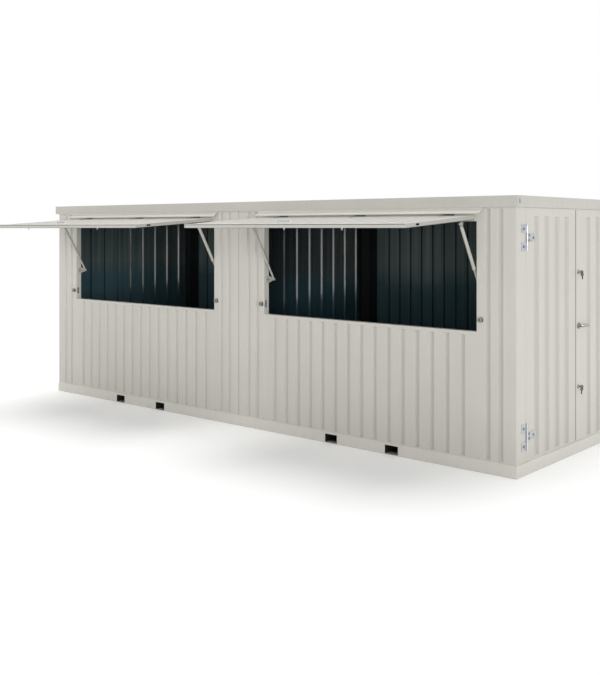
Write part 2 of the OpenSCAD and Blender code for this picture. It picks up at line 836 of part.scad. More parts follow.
// Lever: one round bar that leaves the door, runs away from the meeting edge and turns back to the door
module door_lever() {
    run_x = lever_out - shaft_r;
    bend_x = run_x - lever_bend;
    bend_y = lever_l - shaft_r - lever_bend;
    color(zinc) translate([module_l, lever_y, lever_z]) {
        bar_x(shaft_r, shaft_seat, bend_x);
        translate([bend_x, lever_bend, 0]) rotate([0, 0, -90]) lever_elbow();
        translate([run_x, lever_bend, 0]) rotate([-90, 0, 0]) cylinder(r = shaft_r, h = bend_y - lever_bend);
        translate([bend_x, bend_y, 0]) lever_elbow();
        translate([0, bend_y + lever_bend, 0]) bar_x(shaft_r, lever_back, bend_x);
    }
}

module door_locks() {
    color(zinc) for (z = [lock_low_z, lock_high_z]) translate([module_l, lock_y, z]) {
        bar_x(lock_r, 0, lock_h);
        bar_x(lock_core_r, 0, lock_h + lock_core_h);
    }
}

// One module per node of the two bar modules

module left_base_rails() base_rails(left);
module right_base_rails() base_rails(right);
module left_base_beams() base_beams(left);
module right_base_beams() base_beams(right);
module left_fork_pockets() fork_pockets(left);
module right_fork_pockets() fork_pockets(right);
module left_floor() floor_boards(left, floor_outer_x);
module right_floor() floor_boards(right, floor_end_x);
module left_counter_panel() counter_panel(left);
module right_counter_panel() counter_panel(right);
module left_back_wall() back_wall(left);
module right_back_wall() back_wall(right);
module left_roof_ends() roof_ends(left);
module right_roof_ends() roof_ends(right);
module left_roof_sheet() roof_sheet(left);
module right_roof_sheet() roof_sheet(right);
module left_flap_skin() flap_skin(left);
module right_flap_skin() flap_skin(right);
module left_flap_lining() flap_lining(left);
module right_flap_lining() flap_lining(right);
module left_flap_straps() flap_straps(left);
module right_flap_straps() flap_straps(right);
module left_flap_lugs() flap_lugs(left);
module right_flap_lugs() flap_lugs(right);
module left_flap_pull() flap_pull(left);
module right_flap_pull() flap_pull(right);
module left_strut_tubes() strut_tubes(left);
module right_strut_tubes() strut_tubes(right);
module left_strut_rods() strut_rods(left);
module right_strut_rods() strut_rods(right);
module front_door_leaf() door_leaf(0, groove_edge, front_groove_pitch);
module back_door_leaf() door_leaf(1, lock_strip, back_groove_pitch);
module front_door_straps() door_straps(0);
module back_door_straps() door_straps(1);

left_base_rails();
right_base_rails();
left_base_beams();
right_base_beams();
left_fork_pockets();
right_fork_pockets();
left_floor();
right_floor();
corner_posts();
hatch_posts();
side_panels();
left_counter_panel();
right_counter_panel();
hatch_sills();
lintels();
drip_caps();
left_back_wall();
right_back_wall();
left_end_wall();
seam_wall();
roof_eaves();
left_roof_ends();
right_roof_ends();
left_roof_sheet();
right_roof_sheet();
hatch_catches();
strut_brackets();
flap_hinges();
left_flap_skin();
right_flap_skin();
left_flap_lining();
right_flap_lining();
left_flap_straps();
right_flap_straps();
left_flap_lugs();
right_flap_lugs();
left_flap_pull();
right_flap_pull();
left_strut_tubes();
right_strut_tubes();
left_strut_rods();
right_strut_rods();
door_hinge_plates();
front_door_leaf();
back_door_leaf();
front_door_straps();
back_door_straps();
lever_rose();
door_lever();
door_locks();
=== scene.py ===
"""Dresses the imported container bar: paint, zinc, plywood, fixings and seals, in a plain studio."""

import logging
import math
from collections.abc import Callable, Iterator
from contextlib import contextmanager
from dataclasses import dataclass, field
from enum import Enum
from functools import cached_property

import bmesh
import bpy
from mathutils import Matrix, Vector


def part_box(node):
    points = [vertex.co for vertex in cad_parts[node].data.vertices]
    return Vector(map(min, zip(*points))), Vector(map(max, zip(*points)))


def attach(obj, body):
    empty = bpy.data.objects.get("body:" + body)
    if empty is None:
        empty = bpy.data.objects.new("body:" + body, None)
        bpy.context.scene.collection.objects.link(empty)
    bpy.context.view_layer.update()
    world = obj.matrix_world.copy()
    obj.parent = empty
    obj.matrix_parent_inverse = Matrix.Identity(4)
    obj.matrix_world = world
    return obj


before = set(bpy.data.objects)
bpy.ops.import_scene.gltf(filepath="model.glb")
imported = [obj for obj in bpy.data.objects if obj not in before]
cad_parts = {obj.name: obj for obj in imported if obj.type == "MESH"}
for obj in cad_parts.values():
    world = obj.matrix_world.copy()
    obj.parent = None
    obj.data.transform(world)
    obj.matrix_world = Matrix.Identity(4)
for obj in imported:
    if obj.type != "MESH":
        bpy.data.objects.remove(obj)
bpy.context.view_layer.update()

log = logging.getLogger("container_bar")

Colour = tuple[float, float, float]
Point = tuple[float, float, float]
Direction = tuple[float, float, float]
Place = Matrix
Socket = bpy.types.NodeSocket

SQUARE_ON = 0.9  # the least share of a normal that lies along the way a face is said to look
SHARP_EDGE = math.radians(40.0)  # edges that turn by more than this are rounded


class Facing(Enum):
    """The way a fixing's head or a face looks, as the turn from +Z."""

    UP = (0.0, 0.0, 0.0)
    DOWN = (math.pi, 0.0, 0.0)
    FRONT = (math.pi / 2, 0.0, 0.0)
    BACK = (-math.pi / 2, 0.0, 0.0)
    RIGHT = (0.0, math.pi / 2, 0.0)
    LEFT = (0.0, -math.pi / 2, 0.0)

    def at(self, x: float, y: float, z: float) -> Place:
        """The place of a head that stands at a point and looks this way.

        Args:
            x: Where the head stands along the bar, in metres.
            y: Where it stands between front and back.
            z: How high it stands.

        Returns:
            The head's place and turn.
        """
        turn = Matrix.Identity(3)
        for axis, angle in zip("XYZ", self.value):
            turn = Matrix.Rotation(angle, 3, axis) @ turn
        return Matrix.Translation((x, y, z)) @ turn.to_4x4()

    def sees(self, face: bmesh.types.BMFace) -> bool:
        """Whether a face looks this way."""
        return face.normal.dot(self.at(0.0, 0.0, 0.0).to_3x3() @ Vector((0.0, 0.0, 1.0))) > SQUARE_ON

    @classmethod
    def sideways(cls, sign: int) -> "Facing":
        """Right for a positive sign, left for a negative one."""
        return cls.RIGHT if sign > 0 else cls.LEFT


class Side(Enum):
    """The two modules, by the sign of their X."""

    LEFT = -1
    RIGHT = 1

    @property
    def word(self) -> str:
        """The module's name, as the bodies spell it."""
        return self.name.lower()


class Inside(Enum):
    """How a painted piece tells its room side from its weather side."""

    NONE = "painted one colour all over"
    BY_NORMAL = "faces that look into the room are dark"
    BY_DEPTH = "whatever lies behind the outer planes is dark"


@dataclass(frozen=True)
class Module:
    """The sizes that both modules share, in metres, as the source has them."""

    half_length: float = 1.5
    hatch_half: float = 1.155
    front_y: float = -1.09
    wall_z: float = 0.1
    eave_z: float = 2.11
    roof_z: float = 2.2
    end_x: float = 3.0


MODULE = Module()


class Board:
    """A material's node tree, with short calls that place and join nodes."""

    def __init__(self, name: str) -> None:
        """Starts a material that has only its shader and output.

        Args:
            name: What the material is called.
        """
        self.material = bpy.data.materials.new(name)
        self.material.use_nodes = True
        self.tree = self.material.node_tree
        self.shader = self.tree.nodes["Principled BSDF"]
        self.coordinates = self.put("ShaderNodeTexCoord")

    def put(self, kind: str, feeds: dict | None = None, **settings: object) -> bpy.types.Node:
        """Adds one node.

        Args:
            kind: Blender's name for the node's type.
            feeds: What goes into its sockets, by name or number: a value or another node's socket.
            settings: The node's own options.

        Returns:
            The new node.
        """
        node = self.tree.nodes.new(kind)
        for option, value in settings.items():
            setattr(node, option, value)
        for socket, value in (feeds or {}).items():
            self.feed(node, socket, value)
        return node

    def feed(self, node: bpy.types.Node, socket: str | int, value: object) -> None:
        """Joins a socket to another one, or sets its value.

        Args:
            node: The node that takes it.
            socket: The socket's name or number.
            value: A value, or another node's socket.
        """
        if isinstance(value, Socket):
            self.tree.links.new(value, node.inputs[socket])
        else:
            node.inputs[socket].default_value = value

    def noise(self, scale: float, detail: float = 3.0, stretch: Direction = (1.0, 1.0, 1.0)) -> Socket:
        """A noise on the piece's own coordinates.

        Args:
            scale: Repeats in a metre.
            detail: How many finer layers it has.
            stretch: A further scale along each axis.

        Returns:
            The socket with its value, about 0.5 on average.
        """
        where = self.put("ShaderNodeMapping", {"Vector": self.coordinates.outputs["Object"], "Scale": stretch})
        texture = self.put("ShaderNodeTexNoise",
                           {"Vector": where.outputs[0], "Scale": scale, "Detail": detail})
        return texture.outputs["Fac"]

    def span(self, value: Socket, low: float, high: float, start: float = 0.0, end: float = 1.0) -> Socket:
        """A value's range from low to high, taken to start and end and held there."""
        node = self.put("ShaderNodeMapRange", {0: value, 1: low, 2: high, 3: start, 4: end})
        return node.outputs[0]

    def sum(self, kind: str, first: object, second: object) -> Socket:
        """One step of arithmetic, such as MULTIPLY, on two values."""
        return self.put("ShaderNodeMath", {0: first, 1: second}, operation=kind).outputs[0]

    def mix(self, share: object, first: object, second: object) -> Socket:
        """A colour between two, by a share from 0 to 1."""
        node = self.put("ShaderNodeMix", {0: share, 6: first, 7: second}, data_type="RGBA")
        return node.outputs[2]

    def between(self, share: object, first: object, second: object) -> Socket:
        """A number between two, by a share from 0 to 1."""
        return self.put("ShaderNodeMix", {0: share, 2: first, 3: second}, data_type="FLOAT").outputs[0]

    def axes(self, output: str) -> list[Socket]:
        """The X, Y and Z of one of the Texture Coordinate outputs."""
        return list(self.put("ShaderNodeSeparateXYZ", {0: self.coordinates.outputs[output]}).outputs)

    def bump(self, height: Socket, strength: float, distance: float, under: Socket | None = None) -> Socket:
        """A bump that stands on another bump, if one is given.

        Args:
            height: The socket with the heights.
            strength: How much of the bump counts.
            distance: What a height of 1 stands for, in metres.
            under: The socket of the bump that it stands on.

        Returns:
            The socket with the new normal.
        """
        feeds = {"Height": height, "Strength": strength, "Distance": distance}
        if under is not None:
            feeds["Normal"] = under
        return self.put("ShaderNodeBump", feeds).outputs[0]


def opaque(colour: Colour, factor: float = 1.0) -> tuple[float, float, float, float]:
    """A colour with full alpha, made lighter or darker by a factor."""
    return (*(channel * factor for channel in colour), 1.0)


@dataclass(frozen=True)
class SheetPaint:
    """Satin paint on thin sheet: mottling, rain streaks, dust, painted shade in the grooves and on their flanks, a
    lighter painted top where asked, and an orange-peel skin.

    A piece that also shows in the room has the room's dark paint on that side, with painted shade low down and on the
    flanks of its ribs.
    """

    name: str
    colour: Colour = (0.665, 0.648, 0.594)
    roughness: float = 0.42
    inside: Inside = Inside.NONE
    inward: Direction = (0.0, 0.0, 0.0)
    dust: float = 0.07
    dust_z: float = 0.32
    dust_colour: Colour = (0.36, 0.325, 0.27)
    room_colour: Colour = (0.05, 0.068, 0.072)
    # the tone of the painted shade low in the room: a blue painted reflection when given
    room_low: Colour | None = None
    room_low_z: tuple[float, float] = (1.3, 1.55)
    room_low_share: float = 0.75
    room_flank: tuple[float, float] = (0.85, 0.97)
    room_flank_shade: float = 0.8
    room_roughness: float = 0.14
    outer_y: float = 1.0885
    outer_x: float = 2.9985
    face: tuple[int, float] | None = None
    # painted shade on the groove floors, which grows with their depth
    groove_shade: float = 0.5
    groove_depth: tuple[float, float] = (0.004, 0.014)
    flank_lean: tuple[float, float] = (0.25, 0.6)
    # painted shade on groove flanks that lean one way or the other
    painted_flank_shade: tuple[float, float] = (0.0, 0.0)
    # dust on up-facing faces; on the flap it is held to a band by the hinge and is painted shade under the drip cap
    top_dust_and_shade: float = 0.0
    # a lighter tone for up-facing faces, painted light
    painted_top_light: Colour | None = None
    hinge_shade_y: tuple[float, float] | None = None

    @cached_property
    def material(self) -> bpy.types.Material:
        """The paint as a material, made once.

        Returns:
            The material that every piece of this finish shares.
        """
        board = Board(self.name)
        mottle = board.noise(1.7, 4.0)
        streaks = board.noise(1.0, 3.0, (17.0, 17.0, 0.55))
        specks = board.noise(55.0, 2.0)
        height = board.axes("Object")[2]
        tone = board.mix(board.span(mottle, 0.3, 0.7), opaque(self.colour, 0.965), opaque(self.colour, 1.02))
        tone = board.mix(board.span(streaks, 0.42, 0.75, 0.0, 0.5), tone, opaque(self.colour, 0.94))
        tone = board.mix(board.span(specks, 0.66, 0.8, 0.0, 0.3), tone, opaque(self.colour, 0.82))
        # painted light: faces that look up get a lighter tone
        if self.painted_top_light:
            tone = board.mix(board.span(board.axes("Normal")[2], 0.5, 0.9), tone, opaque(self.painted_top_light))
        low = board.span(height, 0.0, self.dust_z, self.dust, 0.0)
        # dust on up-facing faces; where held to a band near the flap's hinge it is painted shade under the drip cap
        if self.top_dust_and_shade:
            flat = board.span(board.axes("Normal")[2], 0.3, 0.9, 0.0, self.top_dust_and_shade)
            if self.hinge_shade_y:
                flat = board.sum("MULTIPLY", flat, board.span(board.axes("Object")[1], *self.hinge_shade_y))
            low = board.sum("MAXIMUM", low, flat)
        patchy = board.sum("MULTIPLY", low, board.span(mottle, 0.25, 0.75, 0.45, 1.35))
        tone = board.mix(patchy, tone, opaque(self.dust_colour))
        if self.face:
            # painted shade: the groove floors are darkened by their depth
            tone = board.mix(self._groove_share(board), tone, opaque(self.colour, 0.8))
        # painted shade: flanks that lean away from the lamps are darkened
        if any(self.painted_flank_shade):
            lean = board.axes("Normal")[1 - self.face[0] if self.face else 0]
            below, above = self.painted_flank_shade
            slight, full = self.flank_lean
            flank = board.sum("ADD", board.span(lean, -slight, -full, 0.0, below),
                              board.span(lean, slight, full, 0.0, above))
            tone = board.mix(flank, tone, opaque(self.colour, 0.5))
        shine = board.span(mottle, 0.2, 0.8, self.roughness - 0.05, self.roughness + 0.07)
        if self.inside is not Inside.NONE:
            room = self._room_share(board)
            tone = board.mix(room, tone, self._room_tone(board, streaks))
            shine = board.between(room, shine, board.span(mottle, 0.2, 0.8, self.room_roughness - 0.05,
                                                          self.room_roughness + 0.06))
        board.feed(board.shader, "Base Color", tone)
        board.feed(board.shader, "Roughness", shine)
        waves = board.bump(board.noise(2.6, 2.0), 0.12, 0.01)
        board.feed(board.shader, "Normal", board.bump(board.noise(420.0, 2.0), 0.06, 0.0008, waves))
        return board.material

    def _groove_share(self, board: Board) -> Socket:
        """The share of painted shade at a point: it grows with the depth behind the sheet's outer face.

        Args:
            board: The node board of the paint.

        Returns:
            The socket with the share, at most groove_shade.
        """
        axis, plane = self.face
        away = board.sum("ABSOLUTE", board.axes("Object")[axis], 0.0)
        return board.span(board.sum("SUBTRACT", plane, away), *self.groove_depth, 0.0, self.groove_shade)

    def _room_share(self, board: Board) -> Socket:
        """The share of the room's paint at a point: 1 on faces that belong to the room.

        Args:
            board: The node board of the paint.

        Returns:
            The socket with the share.
        """
        if self.inside is Inside.BY_NORMAL:
            return board.span(self._inward_share(board), 0.2, 0.3)
        x, y, _ = board.axes("Object")
        far_x = board.sum("GREATER_THAN", board.sum("ABSOLUTE", x, 0.0), self.outer_x)
        far_y = board.sum("GREATER_THAN", board.sum("ABSOLUTE", y, 0.0), self.outer_y)
        return board.sum("SUBTRACT", 1.0, board.sum("MAXIMUM", far_x, far_y))

    def _room_tone(self, board: Board, streaks: Socket) -> Socket:
        """The room's dark paint, a little uneven from the roller, with painted shade in another tone low down and
        painted shade on the flanks.

        Args:
            board: The node board of the paint.
            streaks: The socket with the roller's streaks.

        Returns:
            The socket with the colour.
        """
        tone = board.mix(board.span(streaks, 0.35, 0.7), opaque(self.room_colour, 0.9),
                         opaque(self.room_colour, 1.4))
        # painted shade below the counter's height, with a blue painted reflection where a low tone is given
        lower = board.span(board.axes("Object")[2], *self.room_low_z, self.room_low_share, 0.0)
        tone = board.mix(lower, tone, opaque(self.room_low) if self.room_low else opaque(self.room_colour, 0.45))
        # painted shade on the flanks of the ribs
        if self.inside is Inside.BY_NORMAL:
            flank = board.span(self._inward_share(board), *self.room_flank, self.room_flank_shade, 0.0)
            tone = board.mix(flank, tone, opaque(self.room_colour, 0.12))
        return tone

    def _inward_share(self, board: Board) -> Socket:
        """How far a face looks into the room, from -1 to 1."""
        normals = {0: board.coordinates.outputs["Normal"], 1: self.inward}
        return board.put("ShaderNodeVectorMath", normals, operation="DOT_PRODUCT").outputs["Value"]


@dataclass(frozen=True)
class RoomPaint:
    """Dark gloss paint on the wall at the seam, with painted shade: bluer low down, darker at the front end and black
    in the far corner.
    """

    name: str
    colour: Colour = (0.045, 0.06, 0.062)
    low_colour: Colour = (0.03, 0.085, 0.11)
    low_z: tuple[float, float] = (1.3, 1.55)
    low_share: float = 0.75
    roughness: float = 0.16
    gloss: float = 0.5
    front_y: tuple[float, float] = (-0.75, 0.45)
    front_shade: float = 0.85
    corner_y: tuple[float, float] = (0.8, 0.9)
    corner_shade: float = 0.9
    corner_roughness: float = 0.8

    @cached_property
    def material(self) -> bpy.types.Material:
        """The paint as a material, made once.

        Returns:
            The material that every piece of this finish shares.
        """
        board = Board(self.name)
        board.shader.inputs["Specular IOR Level"].default_value = self.gloss
        streaks = board.noise(1.0, 3.0, (21.0, 21.0, 0.7))
        cloud = board.noise(2.1, 3.0)
        tone = board.mix(board.span(streaks, 0.35, 0.7), opaque(self.colour, 0.75), opaque(self.colour, 1.35))
        scuffs = board.span(board.noise(34.0, 4.0), 0.68, 0.8, 0.0, 0.35)
        tone = board.mix(scuffs, tone, opaque(self.colour, 1.8))
        _, depth, height = board.axes("Object")
        # painted shade low down, in a blue tone that is a painted reflection
        tone = board.mix(board.span(height, *self.low_z, self.low_share, 0.0), tone, opaque(self.low_colour))
        # painted shade towards the front end of the room
        front = board.span(depth, *self.front_y, self.front_shade, 0.0)
        tone = board.mix(front, tone, opaque(self.colour, 0.1))
        # painted shade: black in the far corner
        corner = board.span(depth, *self.corner_y, 0.0, self.corner_shade)
        board.feed(board.shader, "Base Color", board.mix(corner, tone, opaque(self.colour, 0.05)))
        shine = board.span(cloud, 0.2, 0.8, self.roughness - 0.05, self.roughness + 0.07)
        board.feed(board.shader, "Roughness", board.between(corner, shine, self.corner_roughness))
        board.feed(board.shader, "Normal", board.bump(board.noise(2.4, 2.0), 0.1, 0.01))
        return board.material


@dataclass(frozen=True)
class Zinc:
    """Plated steel: pale spangle, fine scratches, dull patches and painted shade on the underside."""

    name: str
    colour: Colour = (0.57, 0.595, 0.62)
    roughness: float = 0.4
    spangle: float = 130.0
    under_shade: float = 0.35

    @cached_property
    def material(self) -> bpy.types.Material:
        """The plating as a material, made once.

        Returns:
            The material that every piece of this finish shares.
        """
        board = Board(self.name)
        grains = board.put("ShaderNodeTexVoronoi",
                           {"Vector": board.coordinates.outputs["Object"], "Scale": self.spangle})
        grain = board.put("ShaderNodeSeparateColor", {0: grains.outputs["Color"]}).outputs[0]
        dull = board.noise(38.0, 4.0)
        scratches = board.noise(1.0, 2.0, (900.0, 900.0, 45.0))
        tone = board.mix(grain, opaque(self.colour, 0.86), opaque(self.colour, 1.1))
        tone = board.mix(board.span(dull, 0.5, 0.75, 0.0, 0.6), tone, opaque(self.colour, 0.7))
        # painted shade on faces that look down
        under = board.span(board.axes("Normal")[2], 0.1, -0.5, 0.0, self.under_shade)
        board.feed(board.shader, "Base Color", board.mix(under, tone, opaque(self.colour, 0.12)))
        board.shader.inputs["Metallic"].default_value = 1.0
        shine = board.sum("ADD", board.span(dull, 0.3, 0.7, self.roughness - 0.08, self.roughness + 0.12),
                          board.span(grain, 0.0, 1.0, -0.04, 0.04))
        board.feed(board.shader, "Roughness", shine)
        board.feed(board.shader, "Normal", board.bump(scratches, 0.08, 0.0004))
        return board.material


@dataclass(frozen=True)
class Plywood:
    """Film-faced plywood: brown veneer under a worn film, with board joints."""

    name: str
    light: Colour = (0.2, 0.125, 0.07)
    dark: Colour = (0.1, 0.058, 0.032)
    board_length: float = 1.25
    joint_w: float = 0.004

    @cached_property
    def material(self) -> bpy.types.Material:
        """The boards as a material, made once.

        Returns:
            The material that every piece of this finish shares.
        """
        board = Board(self.name)
        grain = board.noise(1.0, 6.0, (3.0, 75.0, 75.0))
        wear = board.noise(3.2, 5.0)
        tone = board.mix(board.span(grain, 0.3, 0.7), opaque(self.dark), opaque(self.light))
        tone = board.mix(board.span(wear, 0.55, 0.75, 0.0, 0.45), tone, opaque(self.light, 1.6))
        x = board.axes("Object")[0]
        along = board.sum("PINGPONG", x, self.board_length / 2)
        joint = board.span(along, 0.0, self.joint_w, 0.75, 0.0)
        board.feed(board.shader, "Base Color", board.mix(joint, tone, opaque(self.dark, 0.2)))
        board.feed(board.shader, "Roughness", board.span(wear, 0.3, 0.7, 0.45, 0.7))
        board.feed(board.shader, "Normal", board.bump(grain, 0.15, 0.001))
        return board.material


@dataclass(frozen=True)
class Rubber:
    """Black sealing rubber, dusty in its pores."""

    name: str
    colour: Colour = (0.018, 0.018, 0.019)
    dust_colour: Colour = (0.09, 0.085, 0.078)

    @cached_property
    def material(self) -> bpy.types.Material:
        """The rubber as a material, made once.

        Returns:
            The material that every piece of this finish shares.
        """
        board = Board(self.name)
        pores = board.noise(260.0, 3.0)
        dust = board.span(board.noise(9.0, 4.0), 0.5, 0.8, 0.0, 0.35)
        board.feed(board.shader, "Base Color", board.mix(dust, opaque(self.colour), opaque(self.dust_colour)))
        board.feed(board.shader, "Roughness", board.span(pores, 0.3, 0.7, 0.62, 0.85))
        board.feed(board.shader, "Normal", board.bump(pores, 0.2, 0.0006))
        return board.material


@dataclass(frozen=True)
class PocketPaint:
    """Pale paint on the floor of a fork pocket's mouth, and black painted shade further in."""

    name: str
    colour: Colour = (0.66, 0.645, 0.593)
    # black painted shade inside the pocket
    deep: Colour = (0.01, 0.011, 0.012)
    mouth_y: tuple[float, float] = (1.0, 1.045)
    rim_y: tuple[float, float] = (1.0945, 1.0955)

    @cached_property
    def material(self) -> bpy.types.Material:
        """The two paints as a material, made once.

        Returns:
            The material that every piece of this finish shares.
        """
        board = Board(self.name)
        chips = board.noise(24.0, 4.0)
        away = board.sum("ABSOLUTE", board.axes("Object")[1], 0.0)
        ragged = board.sum("ADD", away, board.span(chips, 0.3, 0.7, -0.02, 0.02))
        floor = board.sum("MULTIPLY", board.span(ragged, *self.mouth_y),
                          board.span(board.axes("Normal")[2], 0.4, 0.6))
        rim = board.span(away, *self.rim_y)
        pale = board.mix(board.span(chips, 0.35, 0.7), opaque(self.colour, 0.88), opaque(self.colour))
        # past the mouth and the rim the pocket is black painted shade
        board.feed(board.shader, "Base Color", board.mix(board.sum("MAXIMUM", floor, rim), opaque(self.deep), pale))
        board.feed(board.shader, "Roughness", board.span(chips, 0.3, 0.7, 0.5, 0.65))
        board.feed(board.shader, "Normal", board.bump(chips, 0.1, 0.001))
        return board.material


class Finishes:
    """Every finish of the bar, each made once."""

    # front: painted shade in the grooves and on their flanks
    front = SheetPaint("front_sheet_paint", inside=Inside.BY_NORMAL, inward=(0.0, 1.0, 0.0), face=(1, 1.09),
                       groove_shade=0.28, painted_flank_shade=(0.4, 0.34))
    reveal = SheetPaint("reveal_paint", inside=Inside.BY_NORMAL, inward=(0.0, 1.0, 0.0))
    # back: the lighter room tone is painted light from the light that comes in through the hatch
    back = SheetPaint("back_sheet_paint", inside=Inside.BY_NORMAL, inward=(0.0, -1.0, 0.0), face=(1, 1.09),
                      room_colour=(0.125, 0.165, 0.165), room_low=(0.03, 0.085, 0.11))
    # left end: the lighter room tone is painted light
    left_end = SheetPaint("end_sheet_paint", inside=Inside.BY_NORMAL, inward=(1.0, 0.0, 0.0), face=(0, 3.0),
                          room_colour=(0.09, 0.12, 0.122), room_low=(0.03, 0.085, 0.11))
    # doors: painted shade in the grooves and on one flank of each
    doors = SheetPaint("door_sheet_paint", inside=Inside.BY_NORMAL, inward=(-1.0, 0.0, 0.0), face=(0, 3.0),
                       groove_shade=0.6, painted_flank_shade=(0.36, 0.0))
    roof = SheetPaint("roof_sheet_paint", inside=Inside.BY_NORMAL, inward=(0.0, 0.0, -1.0), top_dust_and_shade=0.25)
    # posts: the near-black room tone is painted shade in the corners
    posts = SheetPaint("post_paint", inside=Inside.BY_DEPTH, room_colour=(0.01, 0.014, 0.015), room_roughness=0.6)
    trim = SheetPaint("eave_paint", colour=(0.595, 0.582, 0.536), top_dust_and_shade=0.2)
    # rail: a lighter copy of the wall paint, painted light that offsets the shade near the floor
    rail = SheetPaint("rail_paint", colour=(0.77, 0.752, 0.693))
    # cap: a lighter copy of the wall paint, painted light on the sloped top
    cap = SheetPaint("cap_paint", colour=(0.7, 0.683, 0.63), roughness=0.38)
    # flap: painted shade on the top's band by the hinge, a lighter painted top and painted shade on the groove flanks
    flap = SheetPaint("flap_paint", colour=(0.6, 0.587, 0.539), roughness=0.38, top_dust_and_shade=0.32,
                      painted_top_light=(0.63, 0.615, 0.567), hinge_shade_y=(-1.5, -1.16), painted_flank_shade=(0.5, 0.42))
    strut = SheetPaint("strut_sheet_paint", colour=(0.5, 0.488, 0.443), roughness=0.36)
    pale_seal = SheetPaint("pale_seal", colour=(0.72, 0.703, 0.648), roughness=0.6)
    room = RoomPaint("room_paint_gloss")
    pocket = PocketPaint("pocket_paint")
    zinc = Zinc("bright_zinc")
    dull_zinc = Zinc("dull_zinc", colour=(0.34, 0.355, 0.37), roughness=0.5)
    nickel = Zinc("dull_nickel", colour=(0.36, 0.36, 0.345), roughness=0.24, spangle=400.0, under_shade=0.7)
    chrome = Zinc("worn_chrome", colour=(0.52, 0.52, 0.5), roughness=0.2, spangle=300.0, under_shade=0.9)
    key_metal = Zinc("worn_key_metal", colour=(0.13, 0.135, 0.125), roughness=0.34, spangle=500.0, under_shade=0.6)
    plywood = Plywood("floor_plywood")
    rubber = Rubber("sealing_rubber")


